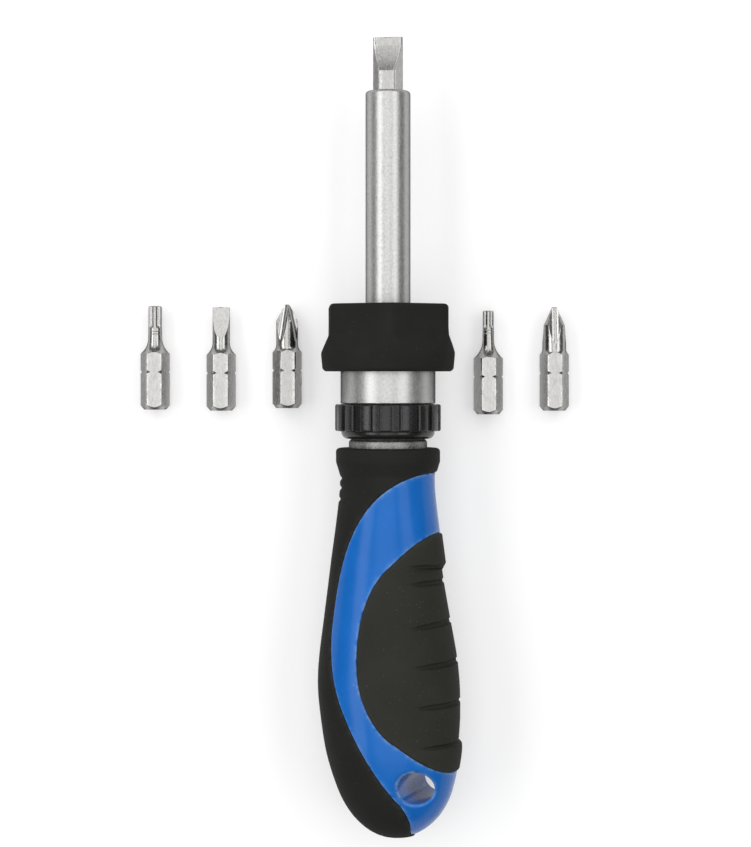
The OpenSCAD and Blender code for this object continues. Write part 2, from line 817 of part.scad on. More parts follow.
// Cross bit with its first wing turned from the X axis
module cross_bit(body_r, tip_r, cone_h, flute_len, turn) {
    flute_r = body_r * cross_flute_share;
    rise = atan((body_r - tip_r) / flute_len);
    difference() {
        bit_blank(concat(nose_points(body_r, bit_len - cone_h), [[tip_r, bit_len], [0, bit_len]]));
        for (i = [0:3]) rotate([0, 0, turn + 45 + i * 90])
            translate([tip_r * cross_core_share + flute_r, 0, bit_len]) rotate([0, 180 - rise, 0])
                translate([0, 0, -flute_len]) cylinder(r = flute_r, h = 2 * flute_len);
    }
}

module star_bit_large() {
    color("silver") spare_place(-3, star_large_slip_share) star_bit(star_large_r, star_large_flute_h);
}

module slotted_bit_small() {
    color("silver") spare_place(-2, slotted_small_slip_share) difference() {
        bit_blank(concat(nose_points(slotted_small_r, bit_len), [[0, bit_len]]));
        blade_grinds(slotted_small_t, slotted_small_grind_h, slotted_land_h, slotted_small_r);
    }
}

module cross_bit_small() {
    color("silver") spare_place(-1, cross_small_slip_share)
        cross_bit(cross_small_r, cross_small_tip_r, cross_small_cone_h, cross_flute_h, 0);
}

module star_bit_small() {
    color("silver") spare_place(1, star_small_slip_share) star_bit(star_small_r, star_small_flute_h);
}

module cross_bit_large() {
    color("silver") spare_place(2, cross_large_slip_share)
        cross_bit(cross_large_r, cross_large_tip_r, cross_large_cone_h, cross_flute_h, 45);
}

handle_core();
spine_grip();
palm_grip();
ratchet_body();
barrel();
front_bush();
thrust_washer();
pawl_pin();
direction_ring();
plunger();
plunger_spring();
pawl();
ratchet_gear();
shaft();
circlip();
bit_magnet();
collar_hub();
finger_collar();
slotted_bit();
star_bit_large();
slotted_bit_small();
cross_bit_small();
star_bit_small();
cross_bit_large();
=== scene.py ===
"""Looks of the ratcheting screwdriver: moulded grips, turned metal, ground bits and their studio.

Every piece is drawn upright in millimetres, as the part's source is: z runs up the tool axis from
the butt, x points to the palm side and the seen side faces -y. lay() puts it in the frame.
"""

import math

import bmesh
import bpy
import numpy as np
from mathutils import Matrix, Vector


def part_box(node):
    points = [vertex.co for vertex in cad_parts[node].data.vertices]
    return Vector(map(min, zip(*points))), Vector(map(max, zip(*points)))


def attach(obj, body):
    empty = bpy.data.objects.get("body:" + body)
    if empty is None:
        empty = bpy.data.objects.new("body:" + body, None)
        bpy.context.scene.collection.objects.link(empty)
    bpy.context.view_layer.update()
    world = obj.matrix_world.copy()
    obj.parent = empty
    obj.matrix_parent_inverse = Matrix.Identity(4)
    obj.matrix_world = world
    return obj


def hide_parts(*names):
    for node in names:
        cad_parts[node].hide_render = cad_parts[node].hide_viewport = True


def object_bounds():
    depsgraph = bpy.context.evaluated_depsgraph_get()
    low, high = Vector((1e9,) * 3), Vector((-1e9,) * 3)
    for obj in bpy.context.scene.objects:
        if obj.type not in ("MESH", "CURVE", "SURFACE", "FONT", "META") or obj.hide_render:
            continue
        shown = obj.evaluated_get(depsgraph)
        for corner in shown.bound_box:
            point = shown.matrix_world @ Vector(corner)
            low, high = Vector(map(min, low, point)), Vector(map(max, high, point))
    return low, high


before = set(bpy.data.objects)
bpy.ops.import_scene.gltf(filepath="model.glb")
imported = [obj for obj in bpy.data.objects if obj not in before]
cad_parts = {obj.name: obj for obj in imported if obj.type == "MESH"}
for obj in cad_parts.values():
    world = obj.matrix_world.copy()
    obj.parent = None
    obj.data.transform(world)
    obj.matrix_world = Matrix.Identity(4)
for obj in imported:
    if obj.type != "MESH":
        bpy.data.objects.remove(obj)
cad_low, cad_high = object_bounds()

# Places taken from the frame

MM = 0.001
shaft_low, shaft_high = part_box("shaft")
butt_low, rim_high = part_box("spine_grip")
axis_x = (shaft_low.x + shaft_high.x) / 2
axis_h = (shaft_low.z + shaft_high.z) / 2
butt_y = butt_low.y


def lay(points):
    """Upright points in millimetres as points of the frame in metres."""
    p = np.asarray(points, float)
    return np.stack([axis_x + p[..., 0] * MM, butt_y + p[..., 2] * MM, axis_h - p[..., 1] * MM], -1)


def upright_box(node_name):
    """A node's lowest and highest upright corner in millimetres."""
    low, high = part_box(node_name)
    return (
        np.array([(low.x - axis_x) / MM, (axis_h - high.z) / MM, (low.y - butt_y) / MM]),
        np.array([(high.x - axis_x) / MM, (axis_h - low.z) / MM, (high.y - butt_y) / MM]),
    )


# Handle surface, as in the part's source

handle_len = (rim_high.y - butt_low.y) / MM
belly_half_w = 17.0
belly_half_t = axis_h / MM
butt_lean = 2.3
rubber_t = 2.0
rim_h = 6.6
rim_z = handle_len - rim_h
rim_r = 12.5
rim_round = 0.9
rim_flare_h = 3.3
pattern_roll = 16.0

# Shares of the handle's length: where the belly ends and how it fades in, the butt's lean and its dome
belly_end_share = 0.95
belly_fade_share = 0.35
lean_share = 0.475
dome_share = 0.15

# How much fuller than an ellipse the belly's section is
belly_fullness = 0.3

# Pairs of the root of the height's share and the half width's share
profile_shares = np.array([
    [0, 0], [0.07, 0.205], [0.15, 0.41], [0.21, 0.55], [0.253, 0.645], [0.324, 0.775],
    [0.383, 0.855], [0.433, 0.912], [0.48, 0.953], [0.557, 0.986], [0.627, 1],
    [0.689, 0.966], [0.747, 0.909], [0.8, 0.852], [0.849, 0.797], [0.897, 0.735],
    [0.942, 0.684], [0.964, 0.676], [1, 0.676],
])

# The hard body sits a little below the rubber round it
band_sink = 0.25

# Outlines on the handle: middle height, reach up and down, widest pattern angle and powers of the curves
palm_outline = {"mid": 46.6, "up": 26.6, "down": 30.0, "peak": 98.5, "power_up": 2.2, "power_down": 2.35}
band_outline = {"mid": 50.7, "up": 36.85, "down": 62.0, "peak": 132.5, "power_up": 2.5, "power_down": 1.4}

# The band closes at this height above the butt, with a corner of this size
band_foot = 0.85
band_foot_round = 2.5

# Small values that keep a slope or a share away from zero
probe = 0.05
least_rise = 0.01
tiny = 1e-9


def ease(t):
    """Smooth step from 0 to 1."""
    s = np.clip(t, 0, 1)
    return s * s * (3 - 2 * s)


def smooth_curve(table, t):
    """Smooth curve through rows of place and value."""
    x = table[:, 0]
    y = table[:, 1]
    last = len(x) - 1
    before = np.maximum(np.arange(last + 1) - 1, 0)
    after = np.minimum(np.arange(last + 1) + 1, last)
    slope = (y[after] - y[before]) / (x[after] - x[before])
    i = np.clip(np.searchsorted(x, t, "right") - 1, 0, last - 1)
    step = x[i + 1] - x[i]
    s = (t - x[i]) / step
    start = y[i] * (1 + 2 * s) * (1 - s) ** 2 + step * slope[i] * s * (1 - s) ** 2
    return start + y[i + 1] * s * s * (3 - 2 * s) + step * slope[i + 1] * s * s * (s - 1)


def half_w(z):
    """Half width of the handle at a height."""
    share = np.sqrt(np.clip(z, 0, handle_len) / handle_len)
    return belly_half_w * smooth_curve(profile_shares, share)


def belly_ease(z):
    """How far the belly's full section holds at a height, from 0 to 1."""
    return ease((belly_end_share - z / handle_len) / belly_fade_share)


def middle_x(z):
    """Middle of the handle's section at a height: the butt leans to the palm side."""
    return butt_lean * (1 + np.cos(np.pi * np.clip(z / (lean_share * handle_len), 0, 1))) / 2


def rim_flare(z):
    """How far the rim stands out past the waist of the handle."""
    waist_r = belly_half_w * profile_shares[-1, 1]
    return (rim_r - waist_r) * np.clip((z - rim_z) / rim_flare_h, 0, 1)


def bulge(v, power):
    """A sine or cosine bent to a rounder or squarer outline."""
    return np.sign(v) * np.abs(v) ** (2 / power)


def skin(z, angle, depth):
    """Points on the handle at heights and pattern angles, sunk below the surface by depth."""
    z, angle, depth = np.broadcast_arrays(np.asarray(z, float), angle, depth)
    q = np.radians(angle + pattern_roll)
    wide = half_w(z) + rim_flare(z)
    thick = wide * (1 - (1 - belly_half_t / belly_half_w) * belly_ease(z))
    power = 2 + belly_fullness * belly_ease(z)
    dome = np.sqrt(1 - np.clip(z / (dome_share * handle_len), 0, 1) ** 2)
    x = middle_x(z) + np.maximum(0, wide - depth) * bulge(np.cos(q), power)
    y = -np.maximum(0, thick - depth) * bulge(np.sin(q), power)
    return np.stack([x, y, z + depth * dome], -1)


def outline_point(phi, outline):
    """Height and pattern angle of a point on a closed outline, phi from its top."""
    power = np.where(np.cos(phi) > 0, outline["power_up"], outline["power_down"])
    reach = np.where(np.cos(phi) > 0, outline["up"], outline["down"])
    rise = outline["mid"] + reach * bulge(np.cos(phi), power) - band_foot
    z = band_foot + (rise + np.sqrt(rise * rise + band_foot_round ** 2)) / 2
    return z, outline["peak"] * bulge(np.sin(phi), power)


def band_turn(count, butt_count):
    """Half a turn round the band's outline, from its top down to the butt and across it."""
    half = count // 2
    upper = np.linspace(0, np.pi / 2, half)
    z = band_outline["mid"] * np.linspace(1, 0, count - half + 1)[1:] ** 2
    share = (band_outline["mid"] - z) / band_outline["down"]
    lower = np.arccos(-share ** (band_outline["power_down"] / 2))
    return np.concatenate([upper, lower, np.linspace(lower[-1], np.pi, butt_count + 1)[1:]])


def outline_distance(z, angle, outline):
    """Distance to an outline over the surface in millimetres, negative inside it."""
    above_foot = np.maximum(z - band_foot, least_rise)
    pull = (band_foot_round / above_foot) ** 2 / 4
    rise = band_foot + above_foot * (1 - pull) - outline["mid"]
    steep = (half_w(z + probe) - half_w(z - probe)) / (2 * probe)
    power = np.where(rise > 0, outline["power_up"], outline["power_down"])
    reach = np.where(rise > 0, outline["up"], outline["down"])
    a = np.abs(angle) / outline["peak"] + tiny
    u = np.abs(rise) / reach + tiny
    f = (a ** power + u ** power) ** (1 / power)
    across = (a / f) ** (power - 1) / (np.radians(outline["peak"]) * np.maximum(half_w(z), rubber_t))
    along = (u / f) ** (power - 1) / reach * (1 + pull) / np.hypot(1, steep)
    return np.maximum((f - 1) / np.hypot(across, along), half_w(band_foot) - half_w(z))


def rounded(distance, radius):
    """Drop of a rounded edge at a distance inside it."""
    t = np.clip(distance, 0, radius)
    return radius - np.sqrt(radius * radius - (radius - t) ** 2)


# Mesh helpers

merge_distance = 0.002 * MM
sliver = 0.001 * MM

# Edges that turn by more than this many degrees stay crisp: in general, on soft forms and on metal
crisp_edge = 40
crisp_soft_edge = 50
crisp_metal_edge = 30


def quads(rows, columns, first=0, wrap=True):
    """Faces of a grid of points, with its columns joined round where wrap is set."""
    index = first + np.arange(rows * columns).reshape(rows, columns)
    if wrap:
        index = np.concatenate([index, index[:, :1]], 1)
    corners = [index[:-1, :-1], index[:-1, 1:], index[1:, 1:], index[1:, :-1]]
    return np.stack(corners, -1).reshape(-1, 4)


def new_piece(name, points, faces, edge=None, sharp=crisp_edge):
    """A closed mesh object in the frame from upright points, merged, with its faces outwards."""
    mesh = bpy.data.meshes.new(name)
    mesh.from_pydata(lay(points).reshape(-1, 3).tolist(), [], np.asarray(faces).tolist())
    # The point attribute edge holds each point's share of the painted edge highlight
    highlight_share = mesh.attributes.new("edge", "FLOAT", "POINT")
    shares = np.zeros(len(mesh.vertices)) if edge is None else np.asarray(edge, float).ravel()
    highlight_share.data.foreach_set("value", shares.astype(np.float32))
    built = bmesh.new()
    built.from_mesh(mesh)
    bmesh.ops.remove_doubles(built, verts=built.verts, dist=merge_distance)
    bmesh.ops.dissolve_degenerate(built, edges=built.edges, dist=sliver)
    bmesh.ops.recalc_face_normals(built, faces=built.faces)
    built.to_mesh(mesh)
    built.free()
    mesh.shade_smooth()
    mesh.set_sharp_from_angle(angle=math.radians(sharp))
    piece = bpy.data.objects.new(name, mesh)
    bpy.context.scene.collection.objects.link(piece)
    return piece


def evaluated_piece(piece):
    """Applies a piece's modifiers and keeps the result as its plain mesh."""
    bpy.context.view_layer.update()
    graph = bpy.context.evaluated_depsgraph_get()
    mesh = bpy.data.meshes.new_from_object(piece.evaluated_get(graph))
    piece.modifiers.clear()
    piece.data = mesh


def join(piece, other):
    """Adds another piece's mesh to a piece and removes the other."""
    joined = bmesh.new()
    joined.from_mesh(piece.data)
    joined.from_mesh(other.data)
    joined.to_mesh(piece.data)
    joined.free()
    bpy.data.objects.remove(other)


def soft_min(a, b, blend):
    """The smaller of two values, with a round of the given size where they meet."""
    h = np.clip(0.5 + 0.5 * (b - a) / blend, 0, 1)
    return b + (a - b) * h - blend * h * (1 - h)


def turn(count):
    """Evenly spread angles of a full turn."""
    return np.arange(count) * 2 * np.pi / count


def polar_piece(name, rows, loop=False, edge=None, place=(0, 0, 0), sharp=crisp_edge):
    """A piece from rows of height and radii round its axis: closed at its poles, or as a loop of rows.

    A row's radius is one number or a radius for each column. Only a piece with poles takes edge shares.
    """
    count = max(np.size(r) for _, r in rows)
    theta = turn(count)
    grid = []
    for z, r in rows:
        radii = np.broadcast_to(r, (count,))
        heights = np.broadcast_to(z, (count,))
        grid.append(np.stack([radii * np.cos(theta), radii * np.sin(theta), heights], -1))
    if loop:
        grid.append(grid[0])
    grid = np.array(grid) + np.array(place)
    return new_piece(name, grid, quads(len(grid), count), edge, sharp)


def turned_piece(name, profile):
    """A piece turned on a lathe from the radii and heights of its closed profile."""
    columns = 144
    return polar_piece(name, [(z, np.full(columns, r)) for r, z in profile], loop=True)


def corner(r, z, radius, start, steps):
    """Quarter round of a lathe profile about its centre, a quarter turn on from start degrees."""
    q = np.radians(start + np.linspace(0, 90, steps))
    return [(r + radius * math.cos(a), z + radius * math.sin(a)) for a in q]


# Palm grip

palm_edge_round = 0.5

# Gap between the back of the rubber and the hard body
seat_gap = 0.1

# Width of the strip of painted edge highlight along a rubber edge
rubber_highlight_width = 0.5

# Pattern angles: the troughs are full up to the first and end at the second, the rest ends a little on
trough_fade = (36.0, 62.0)
rest_fade_on = 10

# At the palm edge a trough has only a share of its depth, up to an angle, and deepens over the next
palm_edge_share = 0.4
palm_edge_angle = 6
palm_edge_fade = 16

# A trough narrows to a share of its width at its end, and its walls take a share of it
trough_end_share = 0.3
trough_wall_share = 0.4

# Each finger trough: its height on the palm edge, its climb to the seen side, depth and half width
finger_troughs = (
    (65.2, 0.6, 0.8, 0.6), (61.7, -0.1, 0.75, 0.7), (52.4, -1.1, 0.8, 0.75),
    (42.9, -0.7, 0.8, 0.75), (33.2, -0.3, 0.75, 0.7), (23.5, -0.2, 0.6, 0.5),
)

# The finger rest along the palm edge: heights, and how deep it lies below the smooth profile
rest_heights = (15, 21.8, 22.6, 23.7, 26, 28.6, 32, 41.6, 44.3, 53.5, 60.6, 64.4, 65.4, 72.6)
rest_depths = (-0.16, -0.4, -0.34, 0.47, 0.28, 0.07, 0, -0.1, 0, 0.5, 0.86, 0.92, -0.18, -0.2)


def palm_depth(z, angle):
    """Depth of the finger rest and its troughs below the handle's smooth surface."""
    low, high = trough_fade
    rest_end = high + rest_fade_on
    fade = ease((rest_end - np.abs(angle)) / (rest_end - low / 2))
    depth = np.interp(z, rest_heights, rest_depths) * fade
    trough = ease((high - np.abs(angle)) / (high - low))
    from_edge = ease((np.abs(angle + pattern_roll) - palm_edge_angle) / palm_edge_fade)
    shallow = palm_edge_share + (1 - palm_edge_share) * from_edge
    for height, climb, deep, half_width in finger_troughs:
        half = half_width * (trough_end_share + (1 - trough_end_share) * trough)
        away = np.abs(z - height - climb * np.abs(angle) / high)
        depth = depth + deep * trough * shallow * ease((half - away) / (trough_wall_share * half))
    return depth


def make_palm_grip():
    """The palm pad: rows of points from its middle to its rim, close together there, and back under it."""
    columns = 560
    flat_rows = 140
    edge_rows = 14
    back_rows = 10
    flat_end = 1.6
    edge_start = 1.4
    rim_height, rim_angle = outline_point(turn(columns), palm_outline)
    rise = rim_height - palm_outline["mid"]
    reach = palm_outline["up"]
    flat = np.linspace(0, 1 - flat_end / reach, flat_rows)
    shares = np.concatenate([flat, 1 - np.linspace(edge_start, 0, edge_rows) / reach])[:, None]
    z = palm_outline["mid"] + shares * rise
    angle = shares * rim_angle
    inside = -outline_distance(z, angle, palm_outline)
    outer = skin(z, angle, palm_depth(z, angle) + rounded(inside, palm_edge_round))
    back = np.linspace(1, 0, back_rows)[:, None]
    inner = skin(palm_outline["mid"] + back * rise, back * rim_angle, rubber_t - seat_gap)
    points = np.concatenate([outer, inner])
    # Edge shares: a painted pale highlight that fades in from the pad's rim
    edge = np.concatenate([np.exp(-inside / rubber_highlight_width), np.zeros(inner.shape[:2])])
    return new_piece("palm_grip_pad", points, quads(len(points), columns), edge)


# Blue body

lanyard_r = 3.9
lanyard_off = 9.6
lanyard_z = 13.8
body_edge_round = 0.35

# The dip round the hole: its width, its depth and how it bends down
lanyard_rim = 0.8
lanyard_rim_depth = 0.75
lanyard_rim_bend = 1.5

# Width of the strip of painted edge highlight along the hard body's edges
body_highlight_width = 0.3

# The body closes inside on the tool axis, between these heights
heart_low = 5
heart_high = 84


def lanyard_axis():
    """A point on the lanyard hole's axis and its direction, upright."""
    roll = math.radians(pattern_roll)
    lean = middle_x(lanyard_z)
    across = lanyard_off - lean
    point = np.array([lean + across * math.cos(roll), -across * math.sin(roll), lanyard_z])
    return point, np.array([math.sin(roll), math.cos(roll), 0])


def lanyard_distance(points):
    """Distance of points from the lanyard hole's axis."""
    start, direction = lanyard_axis()
    away = points - start
    return np.linalg.norm(away - (away @ direction)[..., None] * direction, axis=-1)


def drill_lanyard_hole(body):
    """Cuts the lanyard hole through a body."""
    columns = 96
    start, direction = lanyard_axis()
    side = np.array([direction[1], -direction[0], 0])
    drill_reach = 2 * belly_half_w
    theta = turn(columns)[:, None]
    ring = lanyard_r * (np.cos(theta) * side + np.sin(theta) * np.array([0, 0, 1]))
    ends = [start - drill_reach * direction, start + drill_reach * direction]
    rows = [np.broadcast_to(ends[0], ring.shape), ends[0] + ring, ends[1] + ring]
    rows.append(np.broadcast_to(ends[1], ring.shape))
    drill = new_piece("lanyard_drill", np.array(rows), quads(len(rows), columns))
    bore = body.modifiers.new("lanyard bore", "BOOLEAN")
    bore.operation = "DIFFERENCE"
    bore.solver = "EXACT"
    bore.object = drill
    evaluated_piece(body)
    bpy.data.objects.remove(drill)
    body.data.set_sharp_from_angle(angle=math.radians(crisp_edge))


def make_blue_body():
    """The hard body: covered under the palm pad, shown between the rubbers, closed inside."""
    seam_columns = 321
    butt_columns = 60
    covered_rows = 8
    half_rows = 48
    closing_rows = 6
    edge_crowding = 1.6
    half_turn = band_turn(seam_columns, butt_columns)
    columns = 2 * len(half_turn) - 2
    full_turn = np.concatenate([half_turn, 2 * np.pi - half_turn[-2:0:-1]])
    z_in, angle_in = outline_point(turn(columns), palm_outline)
    z_out, angle_out = outline_point(full_turn, band_outline)
    under = np.linspace(0, 1, covered_rows)[:, None]
    covered = skin(palm_outline["mid"] + under * (z_in - palm_outline["mid"]), under * angle_in, rubber_t)
    lower = 0.5 * np.linspace(0, 1, half_rows) ** edge_crowding
    upper = 1 - 0.5 * np.linspace(1, 0, half_rows)[1:] ** edge_crowding
    s = np.concatenate([lower, upper])[:, None]
    z = z_in + s * (z_out - z_in)
    angle = angle_in + s * (angle_out - angle_in)
    from_palm = outline_distance(z, angle, palm_outline)
    from_spine = -outline_distance(z, angle, band_outline)
    nearest = np.maximum(0, np.minimum(from_palm, from_spine))
    flush = skin(z, angle, band_sink)
    near_hole = ease((lanyard_r + lanyard_rim - lanyard_distance(flush)) / lanyard_rim)
    dip = lanyard_rim_depth * near_hole ** lanyard_rim_bend
    shown = skin(z, angle, band_sink + rounded(nearest, body_edge_round) + dip)
    wall = skin(z_out[None], angle_out[None], rubber_t)
    inward = np.linspace(0, 1, closing_rows + 1)[1:, None, None]
    heart_z = np.clip(z_out, heart_low, heart_high)
    heart = np.stack([np.zeros(columns), np.zeros(columns), heart_z], -1)[None]
    closing = wall * (1 - inward) + heart * inward
    points = np.concatenate([covered, shown, wall, closing])
    edge = np.zeros(points.shape[:2])
    # Edge shares: a painted pale highlight along the body's seams and round the lanyard hole's rim
    edge[covered_rows:covered_rows + len(s)] = np.maximum(np.exp(-nearest / body_highlight_width), near_hole)
    body = new_piece("blue_body", points, quads(len(points), columns), edge)
    drill_lanyard_hole(body)
    return body


# Spine grip

spine_edge_round = 0.6

# Three short notches under the rim: heights, depth, half width, and the angles where they end and fade
thumb_notches = (86.1, 83.8, 81.1)
thumb_notch_depth = 0.42
thumb_notch_half_w = 0.775
thumb_notch_end = 58
thumb_notch_fade = 30

# Strip along the seam that has its own close columns, and the least radius that it is measured on
seam_strip = 1.3
seam_least_r = 6

# Inside of the rim, where the neck goes in
throat_r = belly_half_w * profile_shares[-1, 1] - rubber_t


def thumb_depth(z, angle):
    """Depth of the three short notches under the rim, on the side away from the palm."""
    fade = ease((thumb_notch_end - np.abs(angle - 180 + pattern_roll)) / thumb_notch_fade)
    depth = np.zeros(np.broadcast(z, angle).shape)
    for height in thumb_notches:
        notch = ease(1 - np.abs(z - height) / thumb_notch_half_w)
        depth = depth + thumb_notch_depth * fade * notch
    return depth


def spine_rim():
    """Heights of the rows from the band's top to the rim's throat, and how far each lies inside the rim."""
    rise_rows = 21
    round_rows = 8
    across_rows = 4
    round_foot = handle_len - rim_round
    rise = np.linspace(outline_point(0.0, band_outline)[0], round_foot, rise_rows + 1)[1:]
    round_q = np.radians(np.linspace(0, 90, round_rows + 1)[1:])
    across = np.linspace(rim_r - rim_round, throat_r, across_rows + 1)[1:]
    heights = [rise, round_foot + rim_round * np.sin(round_q), np.full(across_rows, handle_len)]
    inset = [np.zeros(rise_rows), rim_round * (1 - np.cos(round_q)), rim_r - across]
    return np.concatenate(heights), np.concatenate(inset)


def make_spine_grip():
    """The spine sleeve: rows from the rim down along the band's seam and over the butt."""
    edge_columns = 13
    middle_columns = 122
    seam_rows = 190
    seam_butt_rows = 30
    butt_rows = 11
    edge_steps = np.linspace(0, 1, edge_columns)
    middle_steps = np.linspace(0, 1, middle_columns + 2)[1:-1]
    z_seam, angle_seam = outline_point(band_turn(seam_rows, seam_butt_rows), band_outline)
    z_butt = z_seam[-1] * np.linspace(1, 0, butt_rows + 1)[1:] ** 2
    z_edge = np.concatenate([z_seam, z_butt])
    angle_edge = np.concatenate([angle_seam, np.zeros(butt_rows)])
    z_rim, rim_in = spine_rim()
    rim_rows = len(z_rim)
    heights = np.concatenate([z_rim[::-1], z_edge])
    starts = np.concatenate([np.zeros(rim_rows), angle_edge])
    sink = np.concatenate([rim_in[::-1], np.zeros(len(z_edge))])[:, None]
    near = np.degrees(seam_strip / np.maximum(half_w(heights), seam_least_r))
    left = starts[:, None] + near[:, None] * edge_steps
    span = 360 - 2 * starts - 2 * near
    middle = (starts + near)[:, None] + span[:, None] * middle_steps
    angle = np.concatenate([left, middle, (360 - left)[:, ::-1]], 1)
    columns = angle.shape[1]
    z = np.broadcast_to(heights[:, None], angle.shape)
    folded = np.minimum(angle, 360 - angle)
    beyond = np.maximum(0, outline_distance(z, folded, band_outline))
    outer = skin(z, angle, sink + rounded(beyond, spine_edge_round) + thumb_depth(z, angle))
    top_row = skin(np.full(columns, handle_len), angle[0], rim_r - throat_r)[None]
    inner = np.concatenate([top_row, skin(z[rim_rows:], angle[rim_rows:], rubber_t - seat_gap)])
    points = np.concatenate([outer, inner])
    second = len(outer) * columns
    faces = [quads(len(outer), columns, 0, False), quads(len(inner), columns, second, False)]
    edge_rows = np.arange(len(z_edge))
    for column in (0, columns - 1):
        out = (rim_rows + edge_rows) * columns + column
        into = second + (1 + edge_rows) * columns + column
        faces.append(np.stack([out[:-1], out[1:], into[1:], into[:-1]], -1))
    # Edge shares: a painted pale highlight that fades in from the sleeve's seam
    edge = np.concatenate([np.exp(-beyond / rubber_highlight_width), np.zeros(inner.shape[:2])])
    return new_piece("spine_grip_sleeve", points, np.concatenate(faces), edge)


# Head of the tool

# Direction ring: radii, the lip below its lugs, and the rounds and bevel of its edges
ring_bore_r = 8.85
ring_lip_r = 11.2
ring_root_r = 11.8
ring_lug_r = 12.7
ring_lip_h = 1.8
ring_lip_round = 1.55
ring_lip_edge = 0.1
ring_foot_round = 0.25
ring_top_round = 0.35
ring_bevel = 0.3

# Its lugs: count, turn of the first, width, inset at both ends, depth in the ring, round and crown
ring_lug_count = 16
ring_lug_turn = math.radians(-93)
ring_lug_wide = math.radians(13)
ring_lug_inset = 0.06
ring_lug_root = 0.5
ring_lug_round = 0.32
ring_lug_crown = 0.06

# Barrel: radii of its bore and its mouth, thickness of its top, and the rounds of its edges
barrel_bore_r = 8.8
barrel_mouth_r = 5.52
barrel_top_t = 1.4
barrel_foot_round = 0.3
barrel_top_round = 0.45

# Finger collar: its six flats, the cone under them, the taper of its foot and the blends between them
collar_turn = math.radians(2)
collar_flat_r = 14.2
collar_flat_h = 7.4
collar_cone_h = 4.3
collar_cone_reach = 1.6
collar_foot_taper = 0.4
collar_round = 1.0
collar_foot_blend = 0.25
collar_top_blend = 1.0
collar_blend_h = 2

# Its inside: the hub's seat, the web over it, and the bevelled bore with a lip round the shaft
collar_hub_r = 11.92
collar_web = 0.76
collar_bore_r = 5.44
collar_bevel_w = 0.25
collar_bevel_h = 0.2
collar_lip_w = 1.3

# The groove round that lip: distances out from the lip, and depths
collar_groove = ((0.5, 0), (0.3, 0.28), (0.1, 0.28), (-0.1, 0))


def make_direction_ring():
    """The direction ring: a turned body with a round lip, and its row of lugs."""
    low, high = upright_box("direction_ring")
    foot = low[2]
    top = high[2]
    lug_foot = foot + ring_lip_h
    profile = [(ring_bore_r, foot)]
    profile += corner(ring_lip_r - ring_lip_round, foot + ring_lip_round, ring_lip_round, -90, 10)
    profile += [(ring_lip_r, lug_foot - ring_lip_edge), (ring_root_r - ring_bevel, lug_foot)]
    profile += corner(ring_root_r - ring_foot_round, lug_foot + ring_foot_round, ring_foot_round, -90, 4)
    profile += corner(ring_root_r - ring_top_round, top - ring_top_round, ring_top_round, 0, 5)
    profile += [(ring_bore_r + ring_bevel, top), (ring_bore_r, top - ring_bevel)]
    ring = turned_piece("direction_ring_body", profile)
    lugs = make_lug(lug_foot + ring_lug_inset, top - ring_lug_inset)
    spread_lugs(lugs)
    join(ring, lugs)
    return ring


def make_lug(z_low, z_high):
    """One lug of the direction ring, upright on the ring's axis in metres, with soft edges."""
    columns = 17
    rows = 25
    across = np.linspace(-1, 1, columns)
    q = across * ring_lug_wide / 2
    side = (1 - np.abs(across)) * ring_lug_r * ring_lug_wide / 2
    half_h = (z_high - z_low) / 2
    grid = []
    for v in np.linspace(-1, 1, rows):
        end = (1 - abs(v)) * half_h
        r = ring_lug_r - rounded(np.minimum(end, side), ring_lug_round) - ring_lug_crown * across ** 2
        r = np.where((np.abs(across) == 1) | (abs(v) == 1), ring_lug_r - ring_lug_round, r)
        z = np.full(columns, (z_low + z_high) / 2 + v * half_h)
        grid.append(np.stack([r * np.cos(q), r * np.sin(q), z], -1))
    top = np.array(grid)
    foot = top.copy()
    foot[..., :2] *= (ring_root_r - ring_lug_root) / np.linalg.norm(top[..., :2], axis=-1, keepdims=True)
    points = np.concatenate([top, foot]) * MM
    count = rows * columns
    index = np.arange(count).reshape(rows, columns)
    loop = np.concatenate([index[0], index[1:, -1], index[-1, -2::-1], index[-2:0:-1, 0]])
    follow = np.roll(loop, -1)
    wall = np.stack([loop, follow, follow + count, loop + count], -1)
    faces = np.concatenate([quads(rows, columns, 0, False), quads(rows, columns, count, False), wall])
    mesh = bpy.data.meshes.new("ring_lug")
    mesh.from_pydata(points.reshape(-1, 3).tolist(), [], faces.tolist())
    built = bmesh.new()
    built.from_mesh(mesh)
    bmesh.ops.recalc_face_normals(built, faces=built.faces)
    built.to_mesh(mesh)
    built.free()
    mesh.shade_smooth()
    mesh.set_sharp_from_angle(angle=math.radians(crisp_soft_edge))
    lug = bpy.data.objects.new("ring_lug", mesh)
    bpy.context.scene.collection.objects.link(lug)
    return lug


